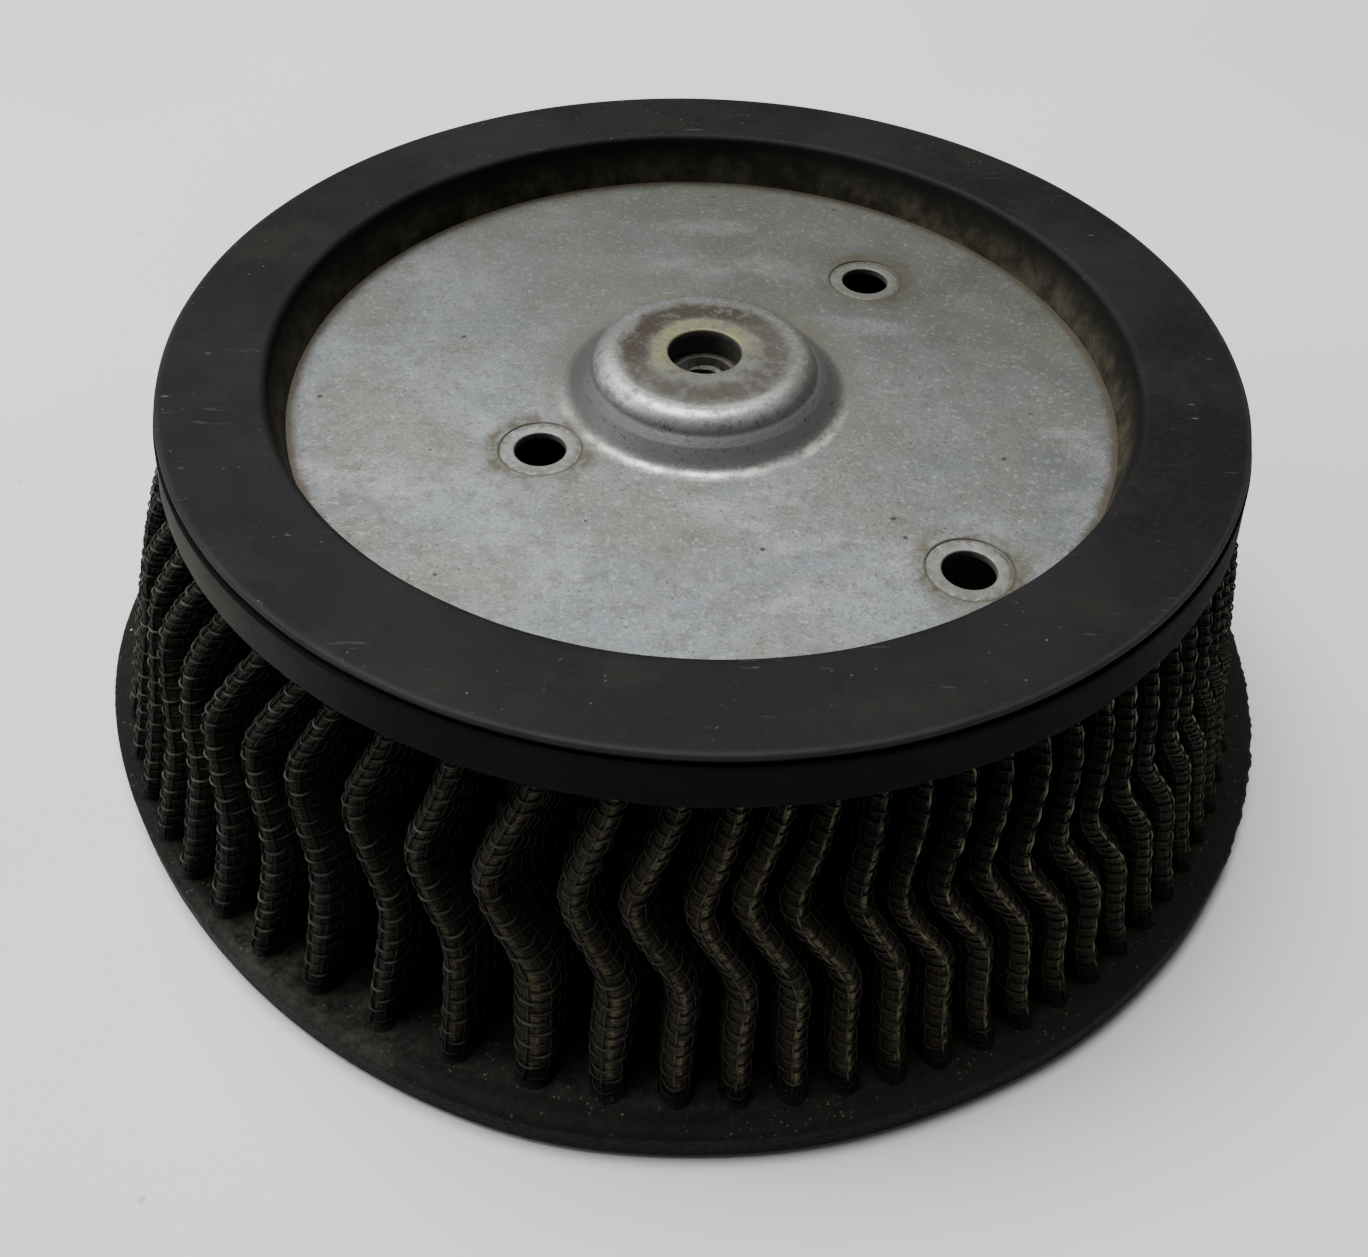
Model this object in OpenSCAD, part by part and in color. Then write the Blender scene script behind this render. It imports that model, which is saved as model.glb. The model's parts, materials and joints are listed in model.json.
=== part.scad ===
// Round pleated air filter element for a motorcycle intake.
// A stamped plate and a pleated gauze wall are held between two moulded rubber rings.
// Millimetres. Origin at the centre of the underside, +Z towards the stamped plate.

/* [Overall] */
// Height from the underside to the face of the top ring
overall_h = 60; // [59:0.5:61]

/* [Top ring] */
// Outer diameter of the flat top face, before its edge is rounded
top_ring_d = 149; // [148:0.5:150]
// Height of the outer wall
top_ring_wall_h = 7.5; // [7:0.5:8]
// How much wider the outer wall is at its lower edge, on each side
top_ring_flare = 1.1; // [1:0.1:1.5]
// Diameter of the recess at the top face
recess_d = 120.7; // [120:0.1:121]
// Diameter of the recess where it meets the plate
recess_floor_d = 117.6; // [117:0.1:118]
// Depth of the recess down to the plate
recess_depth = 7.75; // [7.5:0.05:8]

/* [End plate] */
// Thickness of the stamped sheet
plate_t = 1.2; // [1:0.1:1.3]
// Height of the hub above the plate
hub_h = 6.05; // [5.5:0.05:6.5]
// Diameter of the hub at its foot
hub_foot_d = 39; // [38:0.5:40]
// Diameter of the upper step of the hub
hub_shoulder_d = 31; // [30:0.5:32]
// Diameter of the plunged hole in the hub
hub_hole_d = 10.4; // [10:0.1:10.8]
// Length of the plunged hole, from the hub's face down to the nut
hub_hole_l = 4; // [3.5:0.1:4.5]
// Diameter of the three screw holes
screw_hole_d = 7.1; // [6.8:0.1:7.4]
// Diameter of the coined ring around each screw hole
coin_d = 11.4; // [10:0.2:12]
// Depth of the coined ring
coin_depth = 0.15; // [0.1:0.05:0.3]

/* [Hub nut] */
// Width across the flats of the nut
nut_af = 12.7; // [12:0.1:14]
// Diameter of the nut's round flange
nut_flange_d = 17; // [16:0.5:18]
// Thickness of the nut's flange
nut_flange_t = 1.8; // [1.5:0.1:2.2]
// Overall height of the nut
nut_h = 7; // [6:0.5:8]
// Diameter of the threaded hole, at the crests of the thread
thread_minor_d = 6.6; // [6.4:0.1:6.8]

/* [Base ring] */
// Outer diameter of the base ring
base_ring_d = 182; // [181:0.5:184]
// Inner diameter of the base ring
base_bore_d = 132; // [130:1:134]
// Height of the base ring
base_ring_h = 6; // [5.5:0.5:6.5]
// Depth of the channel that takes the pleats
channel_depth = 1.5; // [1:0.5:2]

/* [Pleats] */
// Number of pleats
pleat_count = 70; // [60:2:70]
// Thickness of each sheet
sheet_t = 0.26; // [0.2:0.02:0.28]
// Gap between one sheet and the next
sheet_gap = 0.05; // [0.04:0.01:0.06]
// Half the width of a pleat's crest, at the middle of the stack
crest_half_w = 1.2; // [1.1:0.1:1.4]
// Half the width of a pleat's root, at the middle of the stack
root_half_w = 1; // [0.95:0.05:1.1]
// Sideways kink of the pleats below the top ring, in degrees
knee_kink = 4.2; // [0:0.1:4.8]
// Share of the kink and twist that the roots follow
root_follow = 0.8; // [0.6:0.1:1]
// Extra width of the pleats at their widest place
wide_gain = 0.52; // [0:0.02:0.6]
// Slow drift of the pleat width around the element
drift_gain = 0.16; // [0:0.02:0.2]

/* [Seam clip] */
// Thickness of the folded strip that joins the ends of the pleated sheets
clip_t = 0.4; // [0.3:0.05:0.5]
// Share of the pleat depth that the clip covers
clip_reach = 0.3; // [0.2:0.05:0.35]

/* [Hidden] */
$fn = 96;

rubber_colour = [0.13, 0.13, 0.14];
zinc_colour = [0.66, 0.68, 0.71];
wire_colour = [0.45, 0.43, 0.36];
gauze_colour = [0.24, 0.22, 0.16];
clip_colour = [0.6, 0.6, 0.58];

plate_top = overall_h - recess_depth;
plate_under = plate_top - plate_t;
plate_r = recess_floor_d / 2 + 1.4;
ring_bottom = overall_h - top_ring_wall_h;
top_edge_r = 0.8;
base_edge_r = 1.5;
arc_steps = 6;

// The three screw holes: place of each one on the plate
screw_holes = [[25.15, 29.55], [-22, -15.65], [34.3, -36.4]];

// The top ring's lower lip carries the plate's rim, and its channel takes the pleats
lip_t = 1.75;
lip_in_r = recess_floor_d / 2 - 1;
lip_out_r = recess_d / 2 + 0.95;
channel_roof = ring_bottom + 1;
channel_out_r = top_ring_d / 2 + 0.5;

// The pleated wall: height, crest radius and root radius at its four levels, with the
// share of the twist and of the kink at each one. Radii are to the middle of the stack.
LEVELS = [
    [base_ring_h - channel_depth, 86.4, 71.5, 0, 0],
    [24, 81.7, 67.8, 0.2, 0.03],
    [36.8, 78.5, 65.4, 0.3, 1],
    [channel_roof, 73.9, 62.2, 1.1, 0]
];
top_level = len(LEVELS) - 1;

stack_t = 5 * sheet_t + 4 * sheet_gap;
seam_half_w = stack_t / 2 + 0.1;
seam_angle = 92.8;
wide_pleat = 26.7;
wide_spread = 3;
drift_pleat = 6.7;
strip_len = 4 * pleat_count;
deg = 180 / PI;

base_channel_in_r = LEVELS[0][2] - stack_t / 2 - 0.4;
base_channel_out_r = LEVELS[0][1] + stack_t / 2 + 0.4;

clip_clear = 0.45;
clip_margin = 0.8;

// ---- Rounded outlines ----

function unit(v) = v / norm(v);

// Points of an arc of radius r that rounds the corner b between a and c
function corner(a, b, c, r) =
    r == 0 ? [b] :
    let (u = unit(a - b), v = unit(c - b), half = acos(u * v) / 2,
         middle = b + unit(u + v) * r / sin(half),
         first = b + u * r / tan(half) - middle,
         last = b + v * r / tan(half) - middle,
         start = atan2(first[1], first[0]),
         raw = atan2(last[1], last[0]) - start,
         turn = raw > 180 ? raw - 360 : raw < -180 ? raw + 360 : raw)
    [for (i = [0:arc_steps]) middle + r * [cos(start + turn * i / arc_steps),
                                           sin(start + turn * i / arc_steps)]];

// An open line with its corners rounded: each entry is [r, z, rounding radius]
function rounded_line(pts) =
    let (last = len(pts) - 1, xy = [for (p = pts) [p[0], p[1]]])
    [xy[0], for (i = [1:last - 1]) each corner(xy[i - 1], xy[i], xy[i + 1], pts[i][2]), xy[last]];

// A closed outline with its corners rounded
function rounded_loop(pts) =
    let (n = len(pts), xy = [for (p = pts) [p[0], p[1]]])
    [for (i = [0:n - 1]) each corner(xy[(i + n - 1) % n], xy[i], xy[(i + 1) % n], pts[i][2])];

// The same open line moved sideways by d, with mitred corners
function shifted_line(pts, d) =
    let (last = len(pts) - 1,
         normals = [for (i = [0:last - 1]) let (s = unit(pts[i + 1] - pts[i])) [s[1], -s[0]]])
    [for (i = [0:last]) let (n0 = normals[max(i - 1, 0)], n1 = normals[min(i, last - 1)])
        pts[i] + d * (n0 + n1) / (1 + n0 * n1)];

// ---- Pleat layout ----

function pleat_weight(k) = 1 + wide_gain * exp(-pow((k - wide_pleat) / wide_spread, 2))
    + drift_gain * cos(360 * (k - drift_pleat) / pleat_count);
root_place = [for (k = 0, s = 0; k <= pleat_count; s = s + pleat_weight(k), k = k + 1) s];
function root_angle(k) = seam_angle + 360 * root_place[k] / root_place[pleat_count];
function crest_angle(k) = (root_angle(k) + root_angle(k + 1)) / 2;

// How far a pleat at angle a is twisted round the element under the top ring, in degrees
function twist(a) = -1 - 3.6 * cos(a) + 0.35 * sin(a) - 0.35 * cos(2 * a);
function sway(a, lv) = LEVELS[lv][3] * twist(a) - LEVELS[lv][4] * knee_kink;

function polar(r, a, z) = [r * cos(a), r * sin(a), z];

// A point of a pleat's crest or root, at side t of the stack: t > 0 is outside.
// edge is -1 for the edge reached first round the element and 1 for the other.
function crest_point(k, edge, lv, t) =
    let (r = LEVELS[lv][1] + t, a = crest_angle(k) + sway(crest_angle(k), lv))
    polar(r, a + edge * (crest_half_w + t) / r * deg, LEVELS[lv][0]);
function root_point(k, edge, lv, t) =
    let (at_seam = k == 0 || k == pleat_count,
         half_w = at_seam ? seam_half_w : root_half_w,
         r = LEVELS[lv][2] + (at_seam ? 0 : t),
         a = root_angle(k) + root_follow * sway(root_angle(k), lv))
    polar(r, a + edge * (half_w - t) / r * deg, LEVELS[lv][0]);

// Point i along the pleated strip: the seam's end, then crest, root, crest and so on
function strip_point(i, lv, t) =
    i == 0 ? root_point(0, 1, lv, t) :
    let (k = floor((i - 1) / 4), q = (i - 1) % 4)
    q == 0 ? crest_point(k, -1, lv, t) :
    q == 1 ? crest_point(k, 1, lv, t) :
    root_point(k + 1, q == 2 ? -1 : 1, lv, t);

// A closed solid between an inner and an outer grid of points, each given as rows.
// Every fourth column, counted from falling, is the flank that falls from a crest to a root:
// it is split along its other diagonal, so that both flanks of a pleat bend the same way.
module skin_solid(inner, outer, falling) {
    rows = len(inner);
    cols = len(inner[0]);
    half = rows * cols;
    pts = [for (row = inner) each row, for (row = outer) each row];
    function at(side, row, col) = side * half + row * cols + col;
    function quad(a, b, c, d) = [[a, b, c], [a, c, d]];
    function flank(a, b, c, d, col) = col % 4 == falling ? [[a, b, d], [b, c, d]] : quad(a, b, c, d);
    faces = [
        for (r = [0:rows - 2], c = [0:cols - 2]) each
            flank(at(1, r, c), at(1, r + 1, c), at(1, r + 1, c + 1), at(1, r, c + 1), c),
        for (r = [0:rows - 2], c = [0:cols - 2]) each
            flank(at(0, r, c), at(0, r, c + 1), at(0, r + 1, c + 1), at(0, r + 1, c), c),
        for (c = [0:cols - 2]) each
            quad(at(0, 0, c), at(1, 0, c), at(1, 0, c + 1), at(0, 0, c + 1)),
        for (c = [0:cols - 2]) each
            quad(at(0, rows - 1, c + 1), at(1, rows - 1, c + 1), at(1, rows - 1, c), at(0, rows - 1, c)),
        for (r = [0:rows - 2]) each
            quad(at(0, r, 0), at(0, r + 1, 0), at(1, r + 1, 0), at(1, r, 0)),
        for (r = [0:rows - 2]) each
            quad(at(1, r, cols - 1), at(1, r + 1, cols - 1), at(0, r + 1, cols - 1), at(0, r, cols - 1))
    ];
    polyhedron(points = pts, faces = faces, convexity = 20);
}

// One pleated sheet: layer 0 is the outermost of the five
module pleated_sheet(layer) {
    outside = stack_t / 2 - layer * (sheet_t + sheet_gap);
    function grid(t) = [for (lv = [0:top_level]) [for (i = [0:strip_len - 1]) strip_point(i, lv, t)]];
    skin_solid(grid(outside - sheet_t), grid(outside), 2);
}

// ---- Sub-parts ----

module top_ring() {
    top_r = top_ring_d / 2;
    recess_r = recess_d / 2;
    floor_r = recess_floor_d / 2;
    lip_bottom = plate_under - lip_t;
    color(rubber_colour)
        rotate_extrude()
            polygon(rounded_loop([
                [recess_r, overall_h, 1], [top_r, overall_h, top_edge_r],
                [top_r + top_ring_flare, ring_bottom, 0], [channel_out_r, ring_bottom, 0],
                [channel_out_r, channel_roof, 0], [lip_out_r, channel_roof, 0],
                [lip_out_r, lip_bottom, 0.5], [lip_in_r, lip_bottom, 0.5], [lip_in_r, plate_under, 0],
                [plate_r, plate_under, 0], [plate_r, plate_top, 0], [floor_r, plate_top, 0]
            ]));
}

module end_plate() {
    foot_r = hub_foot_d / 2;
    shoulder_r = hub_shoulder_d / 2;
    hole_r = hub_hole_d / 2;
    step_h = hub_h * 0.46;
    upper = rounded_line([
        [plate_r, 0, 0], [foot_r, 0, 1.6], [foot_r - 2.2, step_h, 1.6],
        [shoulder_r + 0.5, step_h + 0.3, 0.8], [shoulder_r - 0.6, hub_h, 2.2],
        [hole_r, hub_h, 0.4], [hole_r, hub_h - hub_hole_l, 0]
    ]);
    lower = shifted_line(upper, -plate_t);
    tail = len(lower) - 1;
    color(zinc_colour)
        difference() {
            translate([0, 0, plate_top])
                rotate_extrude()
                    polygon([each upper, for (i = [tail:-1:0]) lower[i]]);
            for (p = screw_holes)
                translate([p[0], p[1], plate_under - 1])
                    cylinder(d = screw_hole_d, h = plate_t + 2);
            for (p = screw_holes)
                translate([p[0], p[1], plate_top - coin_depth])
                    cylinder(d = coin_d, h = coin_depth + 1);
        }
}

module hub_nut() {
    nut_top = plate_top + hub_h - hub_hole_l;
    chamfer = 1;
    color(zinc_colour)
        translate([0, 0, nut_top - nut_h])
            difference() {
                union() {
                    cylinder(d = nut_af / cos(30), h = nut_h - nut_flange_t + 0.1, $fn = 6);
                    translate([0, 0, nut_h - nut_flange_t])
                        cylinder(d = nut_flange_d, h = nut_flange_t);
                }
                translate([0, 0, -1])
                    cylinder(d = thread_minor_d, h = nut_h + 2);
                translate([0, 0, nut_h - chamfer])
                    cylinder(d1 = thread_minor_d, d2 = thread_minor_d + 2.2 * chamfer, h = 1.1 * chamfer);
            }
}

module outer_screen() {
    color(wire_colour) pleated_sheet(0);
}

module gauze_outer_ply() {
    color(gauze_colour) pleated_sheet(1);
}

module gauze_middle_ply() {
    color(gauze_colour) pleated_sheet(2);
}

module gauze_inner_ply() {
    color(gauze_colour) pleated_sheet(3);
}

module inner_screen() {
    color(wire_colour) pleated_sheet(4);
}

module seam_clip() {
    // The clip wraps both ends of the strip from the inside of the element
    bottom = base_ring_h + clip_margin;
    top = plate_under - lip_t - clip_margin;
    function between(a, b, s) = a + (b - a) * s;
    // A point at height z on the flank beside the seam, a share s of the way to the crest
    function flank(edge, z, s, t) =
        let (k = edge > 0 ? 0 : pleat_count,
             lv = z < LEVELS[1][0] ? 0 : z < LEVELS[2][0] ? 1 : 2,
             f = (z - LEVELS[lv][0]) / (LEVELS[lv + 1][0] - LEVELS[lv][0]),
             root = between(root_point(k, edge, lv, t), root_point(k, edge, lv + 1, t), f),
             near = edge > 0 ? 0 : pleat_count - 1,
             crest = between(crest_point(near, -edge, lv, t), crest_point(near, -edge, lv + 1, t), f))
        between(root, crest, s);
    function u_line(z, t, back) = [flank(-1, z, clip_reach, t), flank(-1, z, back, t),
                                   flank(1, z, back, t), flank(1, z, clip_reach, t)];
    heights = [bottom, LEVELS[1][0], LEVELS[2][0], top];
    against = -stack_t / 2 - clip_clear;
    depth = LEVELS[1][1] - LEVELS[1][2];
    color(clip_colour)
        skin_solid([for (z = heights) u_line(z, against - clip_t, -(clip_clear + clip_t) / depth)],
                   [for (z = heights) u_line(z, against, -clip_clear / depth)], 0);
}

module base_ring() {
    out_r = base_ring_d / 2;
    in_r = base_bore_d / 2;
    floor_z = base_ring_h - channel_depth;
    color(rubber_colour)
        rotate_extrude()
            polygon(rounded_loop([
                [in_r, 0, 1], [out_r, 0, base_edge_r], [out_r, base_ring_h - 0.6, 2.2],
                [base_channel_out_r, base_ring_h, 0.3], [base_channel_out_r, floor_z, 0],
                [base_channel_in_r, floor_z, 0], [base_channel_in_r, base_ring_h, 0.3],
                [in_r, base_ring_h, 1.5]
            ]));
}

top_ring();
end_plate();
hub_nut();
outer_screen();
gauze_outer_ply();
gauze_middle_ply();
gauze_inner_ply();
inner_screen();
seam_clip();
base_ring();
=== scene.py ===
"""Looks of the round pleated air filter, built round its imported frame.

Lengths are in millimetres up to make_piece(), which writes metres. The frame is the CAD's: origin at the
centre of the underside, +Z up through the hub, and -Y towards the camera.
"""
import json
import math

import bmesh
import bpy
import numpy as np
from mathutils import Matrix, Vector


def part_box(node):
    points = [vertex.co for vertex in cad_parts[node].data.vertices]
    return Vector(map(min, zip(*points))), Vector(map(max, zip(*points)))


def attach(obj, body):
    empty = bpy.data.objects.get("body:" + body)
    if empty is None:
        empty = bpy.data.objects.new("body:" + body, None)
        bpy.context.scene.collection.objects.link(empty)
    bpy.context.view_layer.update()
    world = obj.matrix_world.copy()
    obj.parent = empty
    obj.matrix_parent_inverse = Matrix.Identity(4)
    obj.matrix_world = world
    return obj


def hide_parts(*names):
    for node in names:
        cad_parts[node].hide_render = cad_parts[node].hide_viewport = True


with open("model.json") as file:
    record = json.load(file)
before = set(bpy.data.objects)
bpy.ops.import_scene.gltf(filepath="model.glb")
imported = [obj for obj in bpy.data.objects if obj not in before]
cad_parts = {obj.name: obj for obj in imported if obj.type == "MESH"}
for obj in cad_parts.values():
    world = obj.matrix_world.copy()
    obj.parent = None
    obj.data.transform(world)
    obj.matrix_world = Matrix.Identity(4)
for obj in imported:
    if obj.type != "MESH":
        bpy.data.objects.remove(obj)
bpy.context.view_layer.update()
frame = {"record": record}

MM = 0.001
TAU = 2 * math.pi
BODY = "root"


def node_box(node):
    """A CAD node's lowest and highest corners, in millimetres."""
    low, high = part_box(node)
    return np.array(low) / MM, np.array(high) / MM


def mount(name):
    """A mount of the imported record: its place in millimetres and its radius."""
    found = next(m for m in frame["record"]["mounts"] if m["name"] == name)
    return np.array(found["pos_m"]) / MM, found["dims"]["r_mm"]


# ---- Driving sizes, from the frame ----

TOP_RING_R, _, TOP_Z = node_box("top_ring")[1]
TOP_RING_LOW = TOP_Z - 7.5
RECESS_R = 61.0  # the mouth of the recess in the top ring
FACE_R = TOP_RING_R - 1.1  # the outer edge of the top ring's face
PLATE_R, _, HUB_TOP = node_box("end_plate")[1]
PLATE_Z, PLATE_T = TOP_Z - 7.75, 1.2
LIP_LOW = PLATE_Z - PLATE_T - 1.75  # the underside of the top ring's lip, which holds the plate
HUB_FOOT_R, HUB_SHOULDER_R = 19.5, 15.5
NUT_LOW, NUT_HIGH = (corner[2] for corner in node_box("hub_nut"))
BASE_R, _, BASE_H = node_box("base_ring")[1]
BASE_BORE_R = 66.0
WALL_LOW, WALL_HIGH = (corner[2] for corner in node_box("outer_screen"))
COAT_TOP = 8.4  # how high the base ring's compound has crept up the pleats
SCREW_HOLES = [mount(f"screw_hole_{i}")[0] for i in (1, 2, 3)]
SCREW_HOLE_R = mount("screw_hole_1")[1]
HUB_HOLE_R = mount("hub_hole")[1]
THREAD_R = mount("hub_thread")[1]
COIN_R, COIN_DEPTH = 5.7, 0.15


# ---- Mesh tools ----


def add_object(name, data):
    """A new object in the scene, at the origin."""
    made = bpy.data.objects.new(name, data)
    bpy.context.scene.collection.objects.link(made)
    return made


def polar(r, a, *z):
    """Points at radius r and angle a, and at height z if it is given."""
    return np.stack([r * np.cos(a), r * np.sin(a), *z], axis=-1)


def make_mesh(name, points, faces, uvs=None, sharp=None):
    """A mesh in metres from points in millimetres. faces is a list of index arrays, one for each face size.
    uvs maps a layer's name to a uv for each point or for each face corner."""
    mesh = bpy.data.meshes.new(name)
    loops = np.concatenate([f.ravel() for f in faces]).astype(np.int32)
    totals = np.concatenate([np.full(len(f), f.shape[1]) for f in faces])
    starts = np.concatenate([[0], np.cumsum(totals)[:-1]]).astype(np.int32)
    mesh.vertices.add(len(points))
    mesh.vertices.foreach_set("co", (np.asarray(points) * MM).astype(np.float32).ravel())
    mesh.loops.add(len(loops))
    mesh.loops.foreach_set("vertex_index", loops)
    mesh.polygons.add(len(totals))
    mesh.polygons.foreach_set("loop_start", starts)
    mesh.update(calc_edges=True)
    mesh.polygons.foreach_set("use_smooth", np.ones(len(totals), bool))
    for layer, uv in (uvs or {}).items():
        data = mesh.uv_layers.new(name=layer).data
        uv = np.asarray(uv, np.float32)
        data.foreach_set("uv", (uv[loops] if len(uv) == len(points) else uv).ravel())
    if sharp:
        mesh.set_sharp_from_angle(angle=math.radians(sharp))
    return mesh


def make_piece(mesh, material, slot, *nodes):
    """A piece of the object from its mesh: it rides on the root body and stands for the CAD nodes named."""
    mesh.materials.append(material)
    piece = add_object(mesh.name, mesh)
    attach(piece, BODY)
    if nodes:
        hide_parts(*nodes)
    return piece


def grid_faces(rows, cols, wrap_rows=False, wrap_cols=False):
    """Quads of a grid of points that are numbered row by row."""
    r = np.arange(rows if wrap_rows else rows - 1)[:, None]
    c = np.arange(cols if wrap_cols else cols - 1)[None, :]
    r1, c1 = (r + 1) % rows, (c + 1) % cols
    return np.stack([r * cols + c, r1 * cols + c, r1 * cols + c1, r * cols + c1], axis=-1).reshape(-1, 4)


def thick_skin(outer, inner):
    """Points and quads of a closed thin solid between two grids of points, each (rows, columns, 3)."""
    rows, cols = outer.shape[:2]
    half = rows * cols
    skin = grid_faces(rows, cols)
    ring = np.concatenate([
        np.arange(cols), np.arange(2, rows) * cols - 1, np.arange(half - 1, half - cols - 1, -1),
        np.arange(rows - 2, 0, -1) * cols,
    ])
    after = np.roll(ring, -1)
    rim = np.stack([ring, after, after + half, ring + half], axis=-1)
    points = np.concatenate([outer.reshape(-1, 3), inner.reshape(-1, 3)])
    return points, np.concatenate([skin[:, ::-1], skin + half, rim])


def arc_corner(a, b, c, radius, steps):
    """Points of an arc that rounds the corner b between a and c."""
    if radius == 0:
        return [b]
    u, v = (a - b) / np.linalg.norm(a - b), (c - b) / np.linalg.norm(c - b)
    half = math.acos(np.clip(u @ v, -1, 1)) / 2
    middle = b + (u + v) / np.linalg.norm(u + v) * radius / math.sin(half)
    first, last = b + u * radius / math.tan(half) - middle, b + v * radius / math.tan(half) - middle
    start = math.atan2(first[1], first[0])
    turn = (math.atan2(last[1], last[0]) - start + math.pi) % TAU - math.pi
    ways = [start + turn * i / steps for i in range(steps + 1)]
    return [middle + radius * np.array([math.cos(way), math.sin(way)]) for way in ways]


def rounded(outline, closed, steps=6, spacing=None):
    """An (r, z) outline with its corners rounded: each entry is (r, z, rounding radius). With spacing, its
    straight stretches get points that far apart."""
    pts = [np.array(p[:2], float) for p in outline]
    n = len(pts)
    line = []
    for i, (_, _, radius) in enumerate(outline):
        if not closed and i in (0, n - 1):
            line.append(pts[i])
        else:
            line += arc_corner(pts[i - 1], pts[i], pts[(i + 1) % n], radius, steps)
    if not spacing:
        return np.array(line)
    dense = []
    for p, q in zip(line, line[1:] + [line[0]] if closed else line[1:]):
        cuts = max(1, int(np.linalg.norm(q - p) / spacing))
        dense += [p + (q - p) * k / cuts for k in range(cuts)]
    return np.array(dense if closed else dense + [line[-1]])


def shifted(line, d):
    """An open (r, z) line moved sideways by d, with mitred corners."""
    step = np.diff(line, axis=0)
    step /= np.linalg.norm(step, axis=1)[:, None]
    normal = np.stack([step[:, 1], -step[:, 0]], axis=1)
    before, after = np.vstack([normal[:1], normal]), np.vstack([normal, normal[-1:]])
    return line + d * (before + after) / (1 + (before * after).sum(1))[:, None]


def lathe(profile, segments, wobble=None):
    """Points and quads of a closed (r, z) profile turned round the Z axis. The profile runs anticlockwise,
    with r to the right and z up. wobble(r, z, angle) gives small changes of radius and height."""
    angle = np.arange(segments)[:, None] * TAU / segments
    r, z = (np.tile(profile[:, i], (segments, 1)) for i in (0, 1))
    if wobble:
        dr, dz = wobble(r, z, angle)
        r, z = r + dr, z + dz
    return polar(r, angle, z).reshape(-1, 3), grid_faces(segments, len(profile), True, True)


def waves(seed, lowest, highest, count):
    """A smooth random function of an angle, about 1 high, that meets itself after a turn."""
    rng = np.random.default_rng(seed)
    orders = rng.integers(lowest, highest + 1, count)
    phases = rng.uniform(0, TAU, count)
    sizes = rng.uniform(0.4, 1, count) / math.sqrt(count)
    return lambda a: sum(s * np.sin(n * a + p) for n, p, s in zip(orders, phases, sizes))


def curve(knots):
    """A smooth function through (place, value) knots, flat beyond its ends."""
    x, y = (np.array(v, float) for v in zip(*sorted(knots)))
    slope = np.gradient(y, x)
    secant = np.diff(y) / np.diff(x)
    for i in range(1, len(x) - 1):
        limit = 3 * min(abs(secant[i - 1]), abs(secant[i]))
        slope[i] = 0 if secant[i - 1] * secant[i] <= 0 else np.clip(slope[i], -limit, limit)
    slope[0] = slope[-1] = 0
    fine = np.linspace(x[0], x[-1], 800)
    i = np.clip(np.searchsorted(x, fine) - 1, 0, len(x) - 2)
    h, f = x[i + 1] - x[i], (fine - x[i]) / (x[i + 1] - x[i])
    value = (
        (1 + 2 * f) * (1 - f) ** 2 * y[i] + f * (1 - f) ** 2 * h * slope[i]
        + f**2 * (3 - 2 * f) * y[i + 1] + f**2 * (f - 1) * h * slope[i + 1]
    )
    return lambda at: np.interp(at, fine, value)


# ---- Layout of the pleats, as in the CAD ----

PLEATS = 70
SEAM_ANGLE = math.radians(92.8)
ROOT_HALF_W, SEAM_HALF_W = 1.0, 0.85
CREST_CAP, ROOT_CAP = 1.3, 1.0
KNEE_KINK, KNEE_Z = math.radians(4.3), 36
ROOT_FOLLOW = 0.8

order = np.arange(PLEATS)
pleat_weight = 1 + 0.52 * np.exp(-(((order - 26.7) / 3) ** 2)) + 0.16 * np.cos(TAU * (order - 6.7) / PLEATS)
root_place = np.concatenate([[0], np.cumsum(pleat_weight)])
ROOT_ANGLE = SEAM_ANGLE + TAU * root_place / root_place[-1]
CREST_ANGLE = (ROOT_ANGLE[:-1] + ROOT_ANGLE[1:]) / 2

# Radii to the middle of the stack, half the width of a crest, and how far the twist and the kink have come
crest_radius = curve([(4.5, 86.4), (14, 84.0), (24, 81.6), (36.8, 78.4), (45, 76.2), (53.5, 73.9)])
root_radius = curve([(4.5, 71.5), (14, 69.7), (24, 67.8), (36.8, 65.4), (45, 63.8), (53.5, 62.2)])
crest_half_w = curve([(6, 1.12), (22, 1.14), (36.8, 1.02), (50, 0.86)])
twist_share = curve([(4.5, 0), (12, 0.12), (24, 0.22), (36.8, 0.32), (43.5, 0.55), (50.5, 1), (53.5, 1.15)])
knee_share = curve([(21, 0), (25, 0.07), (27, 0.2), (29, 0.4), (33, 0.8), (35, 0.95), (36.6, 1), (38.6, 0.94),
                    (42, 0.7), (47, 0.33), (51, 0.06), (52.8, 0)])
lean_share = curve([(8, 0), (24, 0.8), (33, 1), (42, 0.75), (52, 0.6)])
# Two pleats are swollen half-way up their straight part
SWOLLEN = {28: 0.85, 29: 0.5}
swollen_at = curve([(4, 0.5), (15, 1), (24, 0.8), (36, 0.1)])

# On the left the crests have been pushed out, most at their feet
PUSH = 3.8
push_share = curve([(4.5, 0.95), (12, 0.95), (24, 0.8), (36, 0.6), (45, 0.28), (52, 0)])

# Lengths along the pleated strip: half a root's cap, a flank, a crest's cap
ROOT_ARC, FLANK, CREST_ARC = 1.6, 11.3, 4.4
PLEAT_LEN = 2 * (ROOT_ARC + FLANK) + CREST_ARC
STRIP_LEN = PLEATS * PLEAT_LEN


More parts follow.
